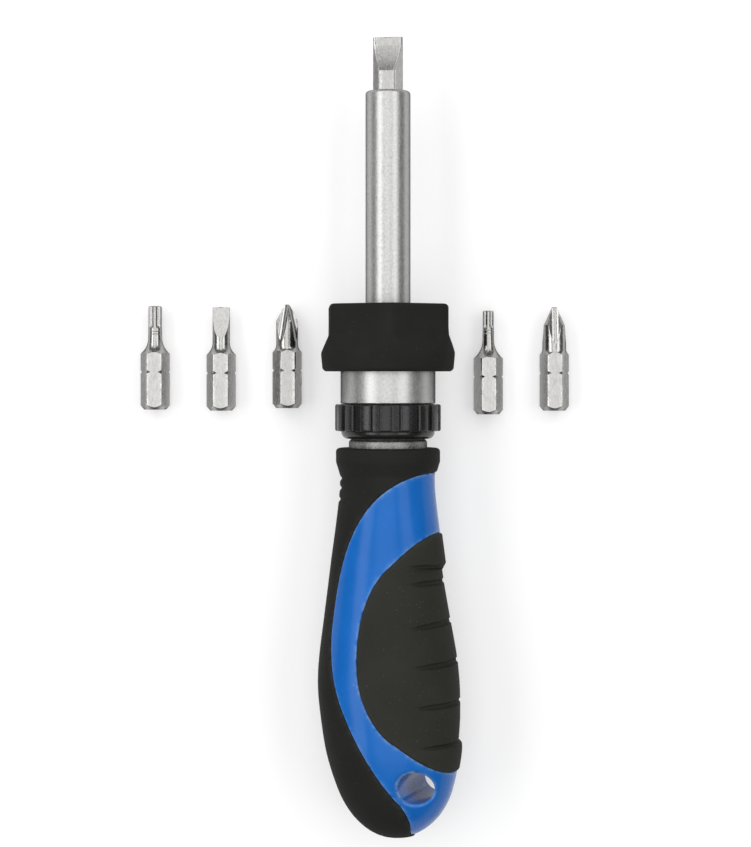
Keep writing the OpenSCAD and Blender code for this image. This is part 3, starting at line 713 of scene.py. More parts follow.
def spread_lugs(lug):
    """Copies the lug round the tool axis with Geometry Nodes and lays the row in the frame."""
    tree = bpy.data.node_groups.new("lugs round the ring", "GeometryNodeTree")
    sockets = tree.interface
    sockets.new_socket("Geometry", in_out="INPUT", socket_type="NodeSocketGeometry")
    sockets.new_socket("Lug Count", in_out="INPUT", socket_type="NodeSocketInt")
    sockets.new_socket("First Turn", in_out="INPUT", socket_type="NodeSocketFloat")
    sockets.new_socket("Place", in_out="INPUT", socket_type="NodeSocketVector")
    sockets.new_socket("Finish", in_out="INPUT", socket_type="NodeSocketMaterial")
    sockets.new_socket("Geometry", in_out="OUTPUT", socket_type="NodeSocketGeometry")
    given = tree.nodes.new("NodeGroupInput")
    line = tree.nodes.new("GeometryNodeMeshLine")
    line.inputs["Offset"].default_value = (0, 0, 0)
    place_lugs = tree.nodes.new("GeometryNodeInstanceOnPoints")
    index = tree.nodes.new("GeometryNodeInputIndex")
    share = tree.nodes.new("ShaderNodeMath")
    share.operation = "DIVIDE"
    angle = tree.nodes.new("ShaderNodeMath")
    angle.operation = "MULTIPLY_ADD"
    angle.inputs[1].default_value = 2 * math.pi
    turn_by = tree.nodes.new("ShaderNodeCombineXYZ")
    real = tree.nodes.new("GeometryNodeRealizeInstances")
    lie = tree.nodes.new("GeometryNodeTransform")
    lie.inputs["Rotation"].default_value = (-math.pi / 2, 0, 0)
    coat = tree.nodes.new("GeometryNodeSetMaterial")
    done = tree.nodes.new("NodeGroupOutput")
    tree.links.new(given.outputs["Lug Count"], line.inputs["Count"])
    tree.links.new(line.outputs["Mesh"], place_lugs.inputs["Points"])
    tree.links.new(given.outputs["Geometry"], place_lugs.inputs["Instance"])
    tree.links.new(index.outputs["Index"], share.inputs[0])
    tree.links.new(given.outputs["Lug Count"], share.inputs[1])
    tree.links.new(share.outputs[0], angle.inputs[0])
    tree.links.new(given.outputs["First Turn"], angle.inputs[2])
    tree.links.new(angle.outputs[0], turn_by.inputs["Z"])
    tree.links.new(turn_by.outputs[0], place_lugs.inputs["Rotation"])
    tree.links.new(place_lugs.outputs["Instances"], lie.inputs["Geometry"])
    tree.links.new(given.outputs["Place"], lie.inputs["Translation"])
    tree.links.new(lie.outputs["Geometry"], real.inputs["Geometry"])
    tree.links.new(real.outputs["Geometry"], coat.inputs["Geometry"])
    tree.links.new(given.outputs["Finish"], coat.inputs["Material"])
    tree.links.new(coat.outputs["Geometry"], done.inputs["Geometry"])
    row = lug.modifiers.new("lugs round the ring", "NODES")
    row.node_group = tree
    values = {
        "Lug Count": ring_lug_count,
        "First Turn": ring_lug_turn,
        "Place": (axis_x, butt_y, axis_h),
        "Finish": finishes["black_plastic"],
    }
    for item in sockets.items_tree:
        if item.in_out == "INPUT" and item.name in values:
            row[item.identifier] = values[item.name]
    evaluated_piece(lug)


def make_barrel():
    """The barrel: a turned cup with a hole for the shaft in its top."""
    low, high = upright_box("barrel")
    foot = low[2]
    top = high[2]
    r = high[0]
    web = top - barrel_top_t
    profile = [(barrel_bore_r, foot), (r - barrel_foot_round, foot)]
    profile += corner(r - barrel_foot_round, foot + barrel_foot_round, barrel_foot_round, -90, 5)
    profile += corner(r - barrel_top_round, top - barrel_top_round, barrel_top_round, 0, 5)
    profile += [(barrel_mouth_r, top), (barrel_mouth_r, web), (barrel_bore_r, web)]
    return turned_piece("barrel_cup", profile)


def collar_outer(z, theta):
    """Radius of the finger collar at a height: a drum with six flats in its upper part."""
    low, high = upright_box("finger_collar")
    drum_r = high[1]
    flat_foot = high[2] - collar_flat_h
    full_z = flat_foot - collar_cone_h
    drum = drum_r - collar_foot_taper * np.clip((full_z - z) / (full_z - low[2]), 0, 1)
    down = np.clip((flat_foot - z) / collar_cone_h, 0, collar_cone_reach)
    flat = collar_flat_r + (drum_r - collar_flat_r) * down
    nearest = np.mod(theta - collar_turn + np.pi / 6, np.pi / 3) - np.pi / 6
    more_blend = (collar_top_blend - collar_foot_blend) * ease((z - flat_foot) / collar_blend_h)
    return soft_min(drum, flat / np.cos(nearest), collar_foot_blend + more_blend)


def make_finger_collar():
    """The finger collar: its outside from foot to top, then the groove, the bore and the hub's seat."""
    theta = turn(288)
    round_rows = 9
    side_rows = 60
    brim_rows = 8
    low, high = upright_box("finger_collar")
    foot = low[2]
    top = high[2]
    round_q = np.radians(np.linspace(0, 90, round_rows))
    heights = np.concatenate([
        foot + collar_round * (1 - np.cos(round_q)),
        np.linspace(foot + collar_round, top - collar_round, side_rows)[1:-1],
        top - collar_round * (1 - np.sin(round_q)),
    ])
    rows = [(foot, collar_hub_r)]
    for z in heights:
        past = max(0, foot + collar_round - z, z - top + collar_round)
        inset = collar_round - math.sqrt(collar_round ** 2 - past ** 2)
        rows.append((z, collar_outer(z, theta) - inset))
    brim = collar_outer(top, theta) - collar_round
    lip_r = collar_bore_r + collar_lip_w
    groove_r = lip_r + collar_groove[0][0]
    for s in np.linspace(0, 1, brim_rows + 1)[1:]:
        rows.append((top, brim + (groove_r - brim) * s))
    rows += [(top - depth, lip_r + out) for out, depth in collar_groove[1:]]
    rows += [(top, collar_bore_r + collar_bevel_w), (top - collar_bevel_h, collar_bore_r)]
    rows += [(top - collar_web, collar_bore_r), (top - collar_web, collar_hub_r)]
    return polar_piece("finger_collar_grip", rows, loop=True, sharp=crisp_soft_edge)


def hex_radius(theta, across_flats):
    """Radius of a hexagon with flats facing front and back."""
    nearest = np.mod(theta, np.pi / 3) - np.pi / 6
    return across_flats / 2 / np.cos(nearest)


bit_af = 6.35
bit_turn = math.radians(-8)

# Shaft: the journal with its circlip groove, the hex key of the gear, and the rounded mouth
journal_r = 3.0
circlip_groove_r = 2.5
circlip_play = 0.04
key_edge_r = 3.6
key_below_gear = 0.6
shaft_mouth_round = 0.8

# Its hex socket: play round the bit and under it, bevel of the mouth, and the magnet's pocket
socket_play = 0.09
socket_floor_play = 0.04
socket_bevel = 0.25
socket_blend = 0.1
magnet_r = 3.0
magnet_pocket_h = 3.04


def make_shaft():
    """The shaft: journal, key and tube from below, then its mouth, the hex socket and its floor."""
    theta = turn(192)
    tube_rows = 40
    mouth_rows = 8
    low, high = upright_box("shaft")
    top = high[2]
    r = high[0]
    gear_low, gear_high = upright_box("ratchet_gear")
    clip_low, clip_high = upright_box("circlip")
    key = hex_radius(theta, key_edge_r * math.sqrt(3))
    key_foot = gear_low[2] - key_below_gear
    tube_foot = gear_high[2]
    groove_foot = clip_low[2] - circlip_play
    groove_top = clip_high[2] + circlip_play
    socket = hex_radius(theta - bit_turn, bit_af + socket_play)
    socket_floor = upright_box("slotted_bit")[0][2] - socket_floor_play
    pocket_floor = socket_floor - magnet_pocket_h
    mouth_r = r - shaft_mouth_round
    mouth_foot = top - shaft_mouth_round
    rows = [(low[2], 0), (low[2], journal_r), (groove_foot, journal_r)]
    rows += [(groove_foot, circlip_groove_r), (groove_top, circlip_groove_r), (groove_top, journal_r)]
    rows += [(key_foot, journal_r), (key_foot, key), (tube_foot, key), (tube_foot, r)]
    rows += [(z, r) for z in np.linspace(tube_foot, mouth_foot, tube_rows)[1:]]
    for q in np.radians(np.linspace(0, 90, mouth_rows + 1)[1:]):
        z = mouth_foot + shaft_mouth_round * math.sin(q)
        rows.append((z, mouth_r + shaft_mouth_round * math.cos(q)))
    rows += [(top, soft_min(socket + socket_bevel, mouth_r, socket_blend)), (top - socket_bevel, socket)]
    rows += [(socket_floor, socket), (socket_floor, magnet_r), (pocket_floor, magnet_r), (pocket_floor, 0)]
    return polar_piece("shaft_tube", rows)


# Bits

bit_len = 25.4
bit_edge_r = 0.985 * bit_af / math.sqrt(3)
bit_columns = 240
shoulder_z = 13.7
shoulder_angle = math.radians(52)

# Bevel at the base and the locking notch of the shank
base_bevel_w = 0.95
base_bevel_h = 1.1
lock_notch_z = 9.2
lock_notch_depth = 0.35
lock_notch_half_h = 0.45

# Stretches of rows along a bit: from, to and count, close together at the bevel, the notch and the nose
bit_stretches = ((0, 1.4, 15), (1.4, 8.6, 10), (8.6, 9.8, 13), (9.8, 13.4, 6), (13.4, bit_len, 96))

# Round where two forms of a bit meet, round of its tip, width of its painted edge highlight and its least
# radius
bit_blend = 0.05
bit_tip_round = 0.12
bit_highlight_width = 0.12
bit_least_r = 0.05

# Radius that stands for no cut
uncut_r = 99.0

# Star tips: shares of the tip's radius for the flutes and their run-out, and the rings turned below them
star_flute_share = 0.36
star_flute_off_share = 1.08
star_run_out_share = 0.33
star_edge_share = 1 / 6
star_run_out_below = 0.5
star_run_out_h = 1.1
star_blend = 0.06
star_rings_h = 1.8
star_ring_pitch = 0.6
star_ring_depth = 0.05

# Cross tips: length of the flutes, their radius as a share of the body's and the core's of the tip's
cross_flute_len = 9.0
cross_flute_share = 0.62
cross_core_share = 0.55
cross_blend = 0.08

# The small cross bit lies a little turned
cross_small_turn = math.radians(6)

# Share of a blade's grind that is hollow, and the least sine that its flats are measured on
blade_hollow_share = 0.25
blade_least_sine = 1e-4


def shank_profile(z):
    """Largest radius of a bit up to its shoulder: the base bevel and the locking notch."""
    r = bit_edge_r - base_bevel_w * np.clip((base_bevel_h - z) / base_bevel_h, 0, 1)
    return r - lock_notch_depth * np.clip(1 - np.abs(z - lock_notch_z) / lock_notch_half_h, 0, 1)


def nose_profile(z, neck_r):
    """Radius of the hollow shoulder from the hex down to a round neck."""
    hollow_r = (bit_edge_r - neck_r) / (1 - math.cos(shoulder_angle))
    reach = hollow_r * math.sin(shoulder_angle)
    up = np.clip((shoulder_z + reach - z) / hollow_r, 0, math.sin(shoulder_angle))
    hollow = neck_r + hollow_r - hollow_r * np.sqrt(1 - up ** 2)
    return np.where(z < shoulder_z, bit_edge_r, hollow)


def flute_radius(theta, count, first, centre, radius):
    """Radius left by round flutes whose centres lie at a distance from the axis."""
    step = 2 * np.pi / count
    away = np.mod(theta - first + step / 2, step) - step / 2
    across = centre * np.sin(away)
    inside = np.abs(across) < radius
    depth = centre * np.cos(away) - np.sqrt(np.maximum(0, radius ** 2 - across ** 2))
    return np.where(inside & (np.cos(away) > 0), depth, uncut_r)


def star_nose(z, theta, tip_r, flute_len):
    """Radius of a star tip: six flutes that run out in a round neck with turned rings."""
    edge = tip_r * star_edge_share
    below = bit_len - flute_len - z
    ring_turn = np.clip(below, 0, star_rings_h) * 2 * np.pi / star_ring_pitch
    rings = star_ring_depth * np.sin(ring_turn) ** 2
    lathe = np.full(theta.shape, nose_profile(z, tip_r) - np.clip(z - bit_len + edge, 0, edge) - rings)
    if below > star_run_out_below:
        return lathe
    run_out = star_run_out_share * tip_r * (1 - ease((star_run_out_below - below) / star_run_out_h))
    centre = star_flute_off_share * tip_r + run_out
    flutes = flute_radius(theta, 6, 0, centre, star_flute_share * tip_r)
    return soft_min(lathe, flutes, star_blend)


def cross_nose(z, theta, body_r, tip_r, cone_h, wing_turn):
    """Radius of a cross tip: a cone with four flutes that sink towards its point."""
    h = bit_len - z
    lathe = np.minimum(nose_profile(z, body_r), tip_r + (body_r - tip_r) * h / cone_h)
    flute_r = cross_flute_share * body_r
    core_r = cross_core_share * tip_r
    centre = core_r + flute_r + h * (body_r - core_r) / cross_flute_len
    flutes = flute_radius(theta, 4, wing_turn + np.pi / 4, centre, flute_r)
    return soft_min(np.full(theta.shape, float(lathe)), flutes, cross_blend)


def blade_nose(z, theta, stock_r, blade_t, grind_h, land_h):
    """Radius left by two slightly hollow grinds that leave a flat blade."""
    cut = stock_r - blade_t / 2
    down = np.clip((bit_len - land_h - z) / (grind_h - land_h), 0, 1)
    half = blade_t / 2 + cut * ((1 - blade_hollow_share) * down + blade_hollow_share * down ** 2)
    half = half + uncut_r * (z < bit_len - grind_h)
    return half / np.maximum(np.abs(np.sin(theta)), blade_least_sine)


def make_bit(name, node_name, nose, turned=0.0):
    """A hex bit in the place of its node: nose gives its radius over the hex at heights from its base."""
    low, high = upright_box(node_name)
    theta = turn(bit_columns)
    stretches = [np.linspace(*stretch) for stretch in bit_stretches]
    hexagon = hex_radius(theta, bit_af)
    rows = [(0.0, np.zeros(bit_columns))]
    highlight_share = [np.zeros(bit_columns)]
    for z in np.unique(np.round(np.concatenate(stretches), 4)):
        body = soft_min(hexagon, np.full(bit_columns, float(shank_profile(z))), bit_blend)
        end = bit_tip_round * ease((z - bit_len + bit_tip_round) / bit_tip_round)
        radius = np.maximum(soft_min(body, nose(z, theta), bit_blend) - end, bit_least_r)
        rows.append((z, radius))
        # Share of the painted edge highlight: full at the hex's corners, fading where the radius drops
        highlight_share.append(np.exp(-np.maximum(0, bit_edge_r - radius) / bit_highlight_width))
    rows.append((bit_len, np.zeros(bit_columns)))
    highlight_share.append(np.zeros(bit_columns))
    around = np.mod(theta - turned, 2 * np.pi)
    full_turn = np.append(theta, 2 * np.pi)
    spun = [(z, np.interp(around, full_turn, np.append(r, r[0]))) for z, r in rows]
    place = ((low[0] + high[0]) / 2, (low[1] + high[1]) / 2, low[2])
    return polar_piece(name, spun, edge=np.array(highlight_share), place=place, sharp=crisp_metal_edge)


def fitted_blade(z, theta):
    """Tip of the fitted slotted bit, ground from the whole hex."""
    return blade_nose(z, theta, stock_r=bit_af / 2, blade_t=1.2, grind_h=8.4, land_h=2.0)


def small_blade(z, theta):
    """Tip of the small slotted bit, ground from a round neck."""
    neck_r = 2.1
    blade = blade_nose(z, theta, stock_r=neck_r, blade_t=0.8, grind_h=7.5, land_h=2.0)
    return np.minimum(nose_profile(z, neck_r), blade)


def large_star(z, theta):
    return star_nose(z, theta, tip_r=1.7, flute_len=5.3)


def small_star(z, theta):
    return star_nose(z, theta, tip_r=1.4, flute_len=4.2)


def large_cross(z, theta):
    return cross_nose(z, theta, body_r=2.9, tip_r=0.85, cone_h=4.4, wing_turn=np.pi / 4)


def small_cross(z, theta):
    return cross_nose(z, theta, body_r=2.65, tip_r=0.6, cone_h=4.1, wing_turn=cross_small_turn)


def make_bits():
    """All six bits by the names of their nodes."""
    return {
        "slotted_bit": make_bit("slotted_bit_fitted", "slotted_bit", fitted_blade, bit_turn),
        "star_bit_large": make_bit("star_bit_large_spare", "star_bit_large", large_star),
        "slotted_bit_small": make_bit("slotted_bit_small_spare", "slotted_bit_small", small_blade),
        "cross_bit_small": make_bit(
            "cross_bit_small_spare", "cross_bit_small", small_cross, cross_small_turn),
        "star_bit_small": make_bit("star_bit_small_spare", "star_bit_small", small_star),
        "cross_bit_large": make_bit("cross_bit_large_spare", "cross_bit_large", large_cross),
    }


# Finishes


def node(tree, kind, inputs=None, **settings):
    """A new node with its settings and socket values."""
    made = tree.nodes.new(kind)
    for key, value in settings.items():
        setattr(made, key, value)
    for key, value in (inputs or {}).items():
        made.inputs[key].default_value = value
    return made


def shader_group(name, inputs, outputs):
    """A shader node group with named sockets, its input node and its output node."""
    tree = bpy.data.node_groups.new(name, "ShaderNodeTree")
    for label, kind, value in inputs:
        socket = tree.interface.new_socket(label, in_out="INPUT", socket_type=kind)
        if value is not None:
            socket.default_value = value
    for label, kind in outputs:
        tree.interface.new_socket(label, in_out="OUTPUT", socket_type=kind)
    return tree, tree.nodes.new("NodeGroupInput"), tree.nodes.new("NodeGroupOutput")


def make_fine_grain():
    """Noise at a size in grains per metre, drawn out along the tool by a stretch."""
    tree, given, done = shader_group("fine grain", [
        ("Vector", "NodeSocketVector", None), ("Grains", "NodeSocketFloat", 2000.0),
        ("Stretch", "NodeSocketFloat", 1.0), ("Detail", "NodeSocketFloat", 2.0),
        ("Low", "NodeSocketFloat", 0.3), ("High", "NodeSocketFloat", 0.7),
    ], [("Grain", "NodeSocketFloat")])
    inverse = node(tree, "ShaderNodeMath", {0: 1.0}, operation="DIVIDE")
    draw = node(tree, "ShaderNodeCombineXYZ", {"X": 1.0, "Z": 1.0})
    scaled = node(tree, "ShaderNodeVectorMath", operation="MULTIPLY")
    noise = node(tree, "ShaderNodeTexNoise", {"Roughness": 0.55})
    spread = node(tree, "ShaderNodeMapRange")
    tree.links.new(given.outputs["Stretch"], inverse.inputs[1])
    tree.links.new(inverse.outputs[0], draw.inputs["Y"])
    tree.links.new(given.outputs["Vector"], scaled.inputs[0])
    tree.links.new(draw.outputs[0], scaled.inputs[1])
    tree.links.new(scaled.outputs[0], noise.inputs["Vector"])
    tree.links.new(given.outputs["Grains"], noise.inputs["Scale"])
    tree.links.new(given.outputs["Detail"], noise.inputs["Detail"])
    tree.links.new(noise.outputs["Fac"], spread.inputs["Value"])
    tree.links.new(given.outputs["Low"], spread.inputs["From Min"])
    tree.links.new(given.outputs["High"], spread.inputs["From Max"])
    tree.links.new(spread.outputs[0], done.inputs["Grain"])
    return tree


def make_dust():
    """Mask of small pale specks, scattered cell by cell."""
    tree, given, done = shader_group("dust specks", [
        ("Vector", "NodeSocketVector", None), ("Cells", "NodeSocketFloat", 500.0),
        ("Size", "NodeSocketFloat", 0.1), ("Share", "NodeSocketFloat", 0.2),
    ], [("Specks", "NodeSocketFloat")])
    cells = node(tree, "ShaderNodeTexVoronoi")
    small = node(tree, "ShaderNodeMapRange", {"From Min": 0.0, "To Min": 1.0, "To Max": 0.0})
    channel = node(tree, "ShaderNodeSeparateColor")
    chosen = node(tree, "ShaderNodeMath", operation="LESS_THAN")
    both = node(tree, "ShaderNodeMath", operation="MULTIPLY")
    tree.links.new(given.outputs["Vector"], cells.inputs["Vector"])
    tree.links.new(given.outputs["Cells"], cells.inputs["Scale"])
    tree.links.new(cells.outputs["Distance"], small.inputs["Value"])
    tree.links.new(given.outputs["Size"], small.inputs["From Max"])
    tree.links.new(cells.outputs["Color"], channel.inputs[0])
    tree.links.new(channel.outputs[0], chosen.inputs[0])
    tree.links.new(given.outputs["Share"], chosen.inputs[1])
    tree.links.new(small.outputs[0], both.inputs[0])
    tree.links.new(chosen.outputs[0], both.inputs[1])
    tree.links.new(both.outputs[0], done.inputs["Specks"])
    return tree


def make_edge_highlight(grain):
    """Mask of the painted edge highlight: the mesh's own edge share, broken up by grain."""
    tree, given, done = shader_group("edge wear", [
        ("Vector", "NodeSocketVector", None), ("Grains", "NodeSocketFloat", 900.0),
    ], [("Highlight", "NodeSocketFloat")])
    share = node(tree, "ShaderNodeAttribute", attribute_name="edge")
    broken = node(tree, "ShaderNodeGroup", node_tree=grain)
    both = node(tree, "ShaderNodeMath", operation="MULTIPLY")
    tree.links.new(given.outputs["Vector"], broken.inputs["Vector"])
    tree.links.new(given.outputs["Grains"], broken.inputs["Grains"])
    tree.links.new(share.outputs["Fac"], both.inputs[0])
    tree.links.new(broken.outputs["Grain"], both.inputs[1])
    tree.links.new(both.outputs[0], done.inputs["Highlight"])
    return tree


groups = {"grain": make_fine_grain(), "dust": make_dust()}
groups["wear"] = make_edge_highlight(groups["grain"])


class Finish:
    """A material under construction: its shader, object coordinates and layers."""

    def __init__(self, name, **shader_values):
        self.material = bpy.data.materials.new(name)
        self.material.use_nodes = True
        self.tree = self.material.node_tree
        self.shader = self.tree.nodes["Principled BSDF"]
        for key, value in shader_values.items():
            self.shader.inputs[key.replace("_", " ")].default_value = value
        self.place = self.tree.nodes.new("ShaderNodeTexCoord").outputs["Object"]

    def group(self, name, **values):
        """Result of a shared shader group on the piece's own coordinates."""
        made = node(self.tree, "ShaderNodeGroup", node_tree=groups[name])
        for key, value in values.items():
            made.inputs[key].default_value = value
        self.tree.links.new(self.place, made.inputs["Vector"])
        return made.outputs[0]

    def mix(self, mask, under, over):
        """Colour that goes from under to over with a mask: each is a colour or a socket."""
        made = node(self.tree, "ShaderNodeMix", data_type="RGBA")
        self.tree.links.new(mask, made.inputs["Factor"])
        for socket, value in ((made.inputs[6], under), (made.inputs[7], over)):
            if isinstance(value, tuple):
                socket.default_value = (*value, 1)
            else:
                self.tree.links.new(value, socket)
        return made.outputs[2]

    def scaled(self, mask, low, high):
        """A mask spread from low to high."""
        made = node(self.tree, "ShaderNodeMapRange", {"To Min": low, "To Max": high})
        self.tree.links.new(mask, made.inputs["Value"])
        return made.outputs[0]

    def colour(self, socket):
        self.tree.links.new(socket, self.shader.inputs["Base Color"])

    def roughness(self, socket):
        self.tree.links.new(socket, self.shader.inputs["Roughness"])

    def bump(self, height, strength, distance):
        """Adds a layer of bump, over the ones made before it."""
        made = node(self.tree, "ShaderNodeBump", {"Strength": strength, "Distance": distance * MM})
        self.tree.links.new(height, made.inputs["Height"])
        before = self.shader.inputs["Normal"].links
        if before:
            self.tree.links.new(before[0].from_socket, made.inputs["Normal"])
        self.tree.links.new(made.outputs[0], self.shader.inputs["Normal"])


def rubber_finish(name, dark, pale, specks):
    """Matt rubber: mottled, with a painted pale highlight along its edges and pale specks on a share of it.
    """
    # Pale colour painted along the edges as a highlight
    edge_highlight_colour = (0.075, 0.075, 0.07)
    speck_colour = (0.15, 0.15, 0.14)
    made = Finish(name, Specular_IOR_Level=0.12)
    mottle = made.group("grain", Grains=90.0, Detail=4.0)
    fine = made.group("grain", Grains=3200.0, Detail=3.0, Low=0.25, High=0.75)
    dust = made.group("dust", Cells=1300.0, Size=0.2, Share=specks)
    wear = made.group("wear", Grains=700.0)
    base = made.mix(mottle, dark, pale)
    # Painted pale highlight along the rubber's edges
    highlighted = made.mix(made.scaled(wear, 0.0, 0.35), base, edge_highlight_colour)
    made.colour(made.mix(made.scaled(dust, 0.0, 0.5), highlighted, speck_colour))
    made.roughness(made.scaled(fine, 0.68, 0.86))
    made.bump(fine, strength=0.35, distance=0.03)
    return made.material


def blue_finish():
    """Smooth blue plastic, with a painted pale highlight along its edges."""
    dark = (0.005, 0.117, 0.44)
    pale = (0.008, 0.131, 0.485)
    # Pale blue painted along the edges and round the lanyard hole as a highlight
    edge_highlight_colour = (0.3, 0.46, 0.64)
    speck_colour = (0.35, 0.5, 0.8)
    made = Finish("blue plastic", Specular_IOR_Level=0.2)
    mottle = made.group("grain", Grains=140.0, Detail=3.0)
    fine = made.group("grain", Grains=2600.0, Detail=2.0)
    wear = made.group("wear", Grains=600.0)
    dust = made.group("dust", Cells=700.0, Size=0.12, Share=0.05)
    base = made.mix(mottle, dark, pale)
    # Painted pale highlight along the blue's edges
    highlighted = made.mix(made.scaled(wear, 0.0, 0.9), base, edge_highlight_colour)
    made.colour(made.mix(made.scaled(dust, 0.0, 0.5), highlighted, speck_colour))
    made.roughness(made.scaled(fine, 0.19, 0.28))
    made.bump(fine, strength=0.12, distance=0.02)
    return made.material


def gloss_black_finish():
    """Glossy black plastic with a few pale specks."""
    dark = (0.008, 0.008, 0.008)
    pale = (0.014, 0.014, 0.014)
    speck_colour = (0.12, 0.12, 0.12)
    made = Finish("black plastic", Specular_IOR_Level=0.42)
    mottle = made.group("grain", Grains=300.0, Detail=3.0)
    fine = made.group("grain", Grains=2400.0, Detail=3.0)
    dust = made.group("dust", Cells=900.0, Size=0.14, Share=0.06)
    base = made.mix(mottle, dark, pale)
    made.colour(made.mix(made.scaled(dust, 0.0, 0.6), base, speck_colour))
    made.roughness(made.scaled(fine, 0.16, 0.34))
    made.bump(fine, strength=0.2, distance=0.025)
    return made.material


def metal_finish(name, dark, pale, rough, grains, stretch, bump):
    """Metal with a fine grain in its colour, roughness and bump, and a painted pale highlight on its edges.
    """
    # Near white painted on the edges as a highlight
    metal_highlight_colour = (0.75, 0.75, 0.75)
    # A near black edge tint darkens grazing reflections, painting shade along the metal's outline
    made = Finish(name, Metallic=1.0, Specular_Tint=(0.05, 0.05, 0.05, 1))
    fine = made.group("grain", Grains=grains, Stretch=stretch, Detail=4.0)
    wear = made.group("wear", Grains=900.0)
    base = made.mix(fine, dark, pale)
    # Painted highlight on the edges, from the edge share
    made.colour(made.mix(made.scaled(wear, 0.0, 0.8), base, metal_highlight_colour))
    made.roughness(made.scaled(fine, *rough))
    made.bump(fine, strength=bump, distance=0.02)
    return made.material


finishes = {
    "soft_rubber": rubber_finish(
        "soft rubber", dark=(0.0128, 0.0128, 0.0115), pale=(0.0164, 0.0164, 0.015), specks=0.05),
    "palm_rubber": rubber_finish(
        "palm rubber", dark=(0.0222, 0.0222, 0.0186), pale=(0.0272, 0.0272, 0.0226), specks=0.2),
    "blue_plastic": blue_finish(),
    "black_plastic": gloss_black_finish(),
    "satin_chrome": metal_finish(
        "satin chrome", dark=(0.4, 0.4, 0.39), pale=(0.55, 0.55, 0.54),
        rough=(0.33, 0.45), grains=2000.0, stretch=1.3, bump=0.16),
    "grey_metal": metal_finish(
        "grey metal", dark=(0.14, 0.14, 0.135), pale=(0.4, 0.4, 0.395),
        rough=(0.4, 0.56), grains=2000.0, stretch=1.0, bump=0.6),
    "bit_steel": metal_finish(
        "bit steel", dark=(0.34, 0.336, 0.326), pale=(0.47, 0.465, 0.455),
        rough=(0.18, 0.3), grains=2300.0, stretch=3.0, bump=0.12),
    "bronze": metal_finish(
        "bronze", dark=(0.42, 0.24, 0.1), pale=(0.5, 0.3, 0.14),
        rough=(0.3, 0.5), grains=1500.0, stretch=1.0, bump=0.3),
    "inner_steel": metal_finish(
        "inner steel", dark=(0.36, 0.36, 0.37), pale=(0.46, 0.46, 0.47),
        rough=(0.28, 0.45), grains=1500.0, stretch=1.0, bump=0.3),
    "hub_plastic": rubber_finish(
        "hub plastic", dark=(0.015, 0.015, 0.015), pale=(0.02, 0.02, 0.02), specks=0.03),
}


def dress(piece, finish):
    """Gives a piece one finish."""
    piece.data.materials.clear()
    piece.data.materials.append(finishes[finish])


def keep_inside(piece):
    """Moves points that lie a hair outside the part's box onto it."""
    vertices = piece.data.vertices
    points = np.empty(3 * len(vertices), np.float32)
    vertices.foreach_get("co", points)
    kept = np.clip(points.reshape(-1, 3), cad_low, cad_high)
    vertices.foreach_set("co", kept.astype(np.float32).ravel())


def settle(piece, node_name, body, finish):
    """Gives a piece its finish, ties it to its body and hides the node that it stands for."""
    keep_inside(piece)
    dress(piece, finish)
    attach(piece, body)
    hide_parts(node_name)


# Build and dress the pieces

settle(make_palm_grip(), "palm_grip", "handle", "palm_rubber")
settle(make_spine_grip(), "spine_grip", "handle", "soft_rubber")
settle(make_blue_body(), "handle_core", "handle", "blue_plastic")
settle(make_direction_ring(), "direction_ring", "selector", "black_plastic")
settle(make_barrel(), "barrel", "handle", "satin_chrome")
settle(make_finger_collar(), "finger_collar", "driver", "soft_rubber")
settle(make_shaft(), "shaft", "driver", "satin_chrome")
bit_bodies = {
    "slotted_bit": "fitted_bit", "star_bit_large": "spare_star_large",
    "slotted_bit_small": "spare_slotted_small", "cross_bit_small": "spare_cross_small",
    "star_bit_small": "spare_star_small", "cross_bit_large": "spare_cross_large",
}
for bit_node, bit in make_bits().items():
    settle(bit, bit_node, bit_bodies[bit_node], "bit_steel")


def smooth_copy(node_name):
    """A merged copy of a node's mesh with smooth curves and crisp edges."""
    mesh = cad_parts[node_name].data.copy()
    built = bmesh.new()
    built.from_mesh(mesh)
    bmesh.ops.remove_doubles(built, verts=built.verts, dist=merge_distance)
    built.to_mesh(mesh)
    built.free()
    mesh.shade_smooth()
    mesh.set_sharp_from_angle(angle=math.radians(crisp_metal_edge))
    mesh.attributes.new("edge", "FLOAT", "POINT")
    piece = bpy.data.objects.new(node_name + "_smooth", mesh)
    bpy.context.scene.collection.objects.link(piece)
    return piece


# Cast flange of the ratchet body: its depth in the rim, its gap to the direction ring and its rounds
flange_depth = 0.86
flange_gap = 0.12
flange_foot_round = 0.3
flange_top_round = 0.9
flange_overlap = 1

# How far the plain flange is drawn in under the cast one
flange_draw = 0.3


def make_ratchet_body():
    """The ratchet body with its plain flange drawn in under a cast one with round edges."""
    body = smooth_copy("ratchet_body")
    flange_r = upright_box("ratchet_body")[1][0]
    foot = handle_len - flange_depth
    top = upright_box("direction_ring")[0][2] - flange_gap
    drawn_top = butt_y + (top - flange_draw) * MM
    for vertex in body.data.vertices:
        x = vertex.co.x - axis_x
        h = vertex.co.z - axis_h
        r = math.hypot(x, h)
        if r > (flange_r - flange_draw) * MM:
            share = 1 - flange_draw * MM / r
            vertex.co = (axis_x + x * share, min(vertex.co.y, drawn_top), axis_h + h * share)
    inner_r = flange_r - flange_overlap
    profile = [(inner_r, foot), (flange_r - flange_foot_round, foot)]
    profile += corner(flange_r - flange_foot_round, foot + flange_foot_round, flange_foot_round, -90, 5)
    profile += corner(flange_r - flange_top_round, top - flange_top_round, flange_top_round, 0, 9)
    profile += [(inner_r, top)]
    join(body, turned_piece("cast_flange", profile))
    return body


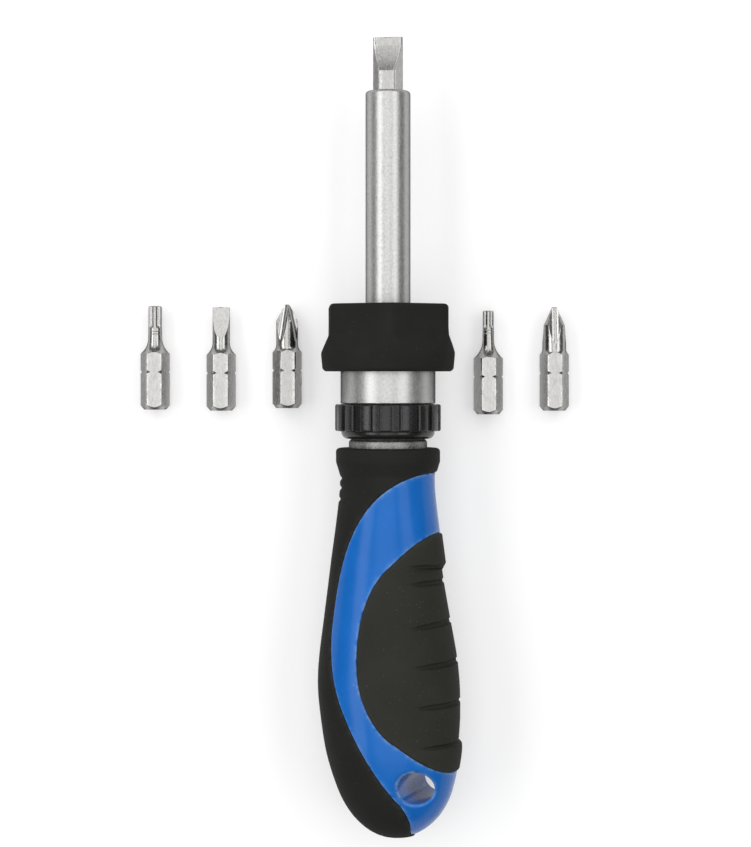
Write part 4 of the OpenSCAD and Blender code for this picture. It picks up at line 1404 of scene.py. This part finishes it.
settle(make_ratchet_body(), "ratchet_body", "handle", "grey_metal")
inner_finishes = {
    "front_bush": "bronze", "thrust_washer": "inner_steel", "pawl_pin": "inner_steel",
    "plunger": "inner_steel", "plunger_spring": "inner_steel", "pawl": "inner_steel",
    "ratchet_gear": "inner_steel", "circlip": "inner_steel", "bit_magnet": "grey_metal",
    "collar_hub": "hub_plastic",
}
for inner_node, inner_finish in inner_finishes.items():
    dress(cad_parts[inner_node], inner_finish)

# Studio

# The camera hangs this high above the tool axis, in metres
view_height = 0.55

# The photo's frame in pixels: the tool axis, the butt's end and the row that is seen square on
photo_width = 751
photo_height = 847
axis_pixel = 388
butt_pixel = 837
square_pixel = 375
pixel = 0.24 * MM

# The floor in metres: half its side and its gap below the part. Its paper's shade and glow
floor_half = 4.0
floor_gap = 0.0002
paper_shade = 0.6
paper_glow = 0.42

world_strength = 0.14


def make_camera():
    """A camera straight above, shifted so that the tool stands in the frame as in the photo."""
    camera_data = bpy.data.cameras.new("camera")
    camera = bpy.data.objects.new("camera", camera_data)
    bpy.context.scene.collection.objects.link(camera)
    bpy.context.scene.camera = camera
    square_y = butt_y + (butt_pixel - square_pixel) * pixel
    camera.location = (axis_x + (photo_width / 2 - axis_pixel) * pixel, square_y, axis_h + view_height)
    camera_data.sensor_width = 36
    camera_data.lens = camera_data.sensor_width * view_height / (photo_height * pixel)
    camera_data.shift_y = (square_pixel - photo_height / 2) / photo_height
    camera_data.clip_start = 0.01
    camera_data.clip_end = 20


def softbox(name, place, target, wide, tall, watts):
    """A rectangular lamp that is turned across the tool axis to face a point."""
    lamp_data = bpy.data.lights.new(name, "AREA")
    lamp_data.shape = "RECTANGLE"
    lamp_data.size = wide
    lamp_data.size_y = tall
    lamp_data.energy = watts
    lamp = bpy.data.objects.new(name, lamp_data)
    lamp.location = place
    away = np.array(place) - np.array(target)
    lamp.rotation_euler = (0, math.atan2(away[0], away[2]), 0)
    bpy.context.scene.collection.objects.link(lamp)


def make_lights():
    """Two softboxes at the sides, a wide fill above, and an even white world."""
    centre = (axis_x, 0, axis_h)
    fill_x = axis_x - 0.08
    fill_y = 0.7
    softbox("left softbox", (axis_x - 0.89, 0.45, 0.97), centre, wide=0.55, tall=2.2, watts=11.8)
    softbox("right softbox", (axis_x + 0.77, 0.45, 1.05), centre, wide=0.6, tall=2.2, watts=9.4)
    softbox("top fill", (fill_x, fill_y, 1.32), (fill_x, fill_y, axis_h), wide=0.85, tall=3.2, watts=13.4)
    world = bpy.data.worlds.new("studio")
    world.use_nodes = True
    background = world.node_tree.nodes["Background"]
    background.inputs["Color"].default_value = (1, 1, 1, 1)
    background.inputs["Strength"].default_value = world_strength
    bpy.context.scene.world = world


def paper_finish():
    """White paper that takes the shadow, with a glow for the camera and for mirrored and clear pieces."""
    paper = bpy.data.materials.new("white paper")
    paper.use_nodes = True
    tree = paper.node_tree
    tree.nodes.clear()
    matt = node(tree, "ShaderNodeBsdfDiffuse", {"Color": (paper_shade, paper_shade, paper_shade, 1)})
    glow = node(tree, "ShaderNodeEmission", {"Color": (1, 1, 1, 1)})
    path = node(tree, "ShaderNodeLightPath")
    seen = node(tree, "ShaderNodeMath", operation="MAXIMUM")
    shown = node(tree, "ShaderNodeMath", operation="MAXIMUM")
    strength = node(tree, "ShaderNodeMath", {1: paper_glow}, operation="MULTIPLY")
    both = node(tree, "ShaderNodeAddShader")
    done = node(tree, "ShaderNodeOutputMaterial")
    tree.links.new(path.outputs["Is Camera Ray"], seen.inputs[0])
    tree.links.new(path.outputs["Is Glossy Ray"], seen.inputs[1])
    tree.links.new(seen.outputs[0], shown.inputs[0])
    tree.links.new(path.outputs["Is Transmission Ray"], shown.inputs[1])
    tree.links.new(shown.outputs[0], strength.inputs[0])
    tree.links.new(strength.outputs[0], glow.inputs["Strength"])
    tree.links.new(matt.outputs[0], both.inputs[0])
    tree.links.new(glow.outputs[0], both.inputs[1])
    tree.links.new(both.outputs[0], done.inputs["Surface"])
    return paper


def make_floor():
    """The table: one large sheet of white paper just below the part."""
    signs = [(-1, -1), (1, -1), (1, 1), (-1, 1)]
    level = cad_low.z - floor_gap
    corners = [(x * floor_half, y * floor_half, level) for x, y in signs]
    mesh = bpy.data.meshes.new("floor")
    mesh.from_pydata(corners, [], [(0, 1, 2, 3)])
    floor = bpy.data.objects.new("floor", mesh)
    bpy.context.scene.collection.objects.link(floor)
    mesh.materials.append(paper_finish())


make_camera()
make_lights()
make_floor()
bpy.context.scene.view_settings.view_transform = "Standard"

bpy.context.view_layer.update()
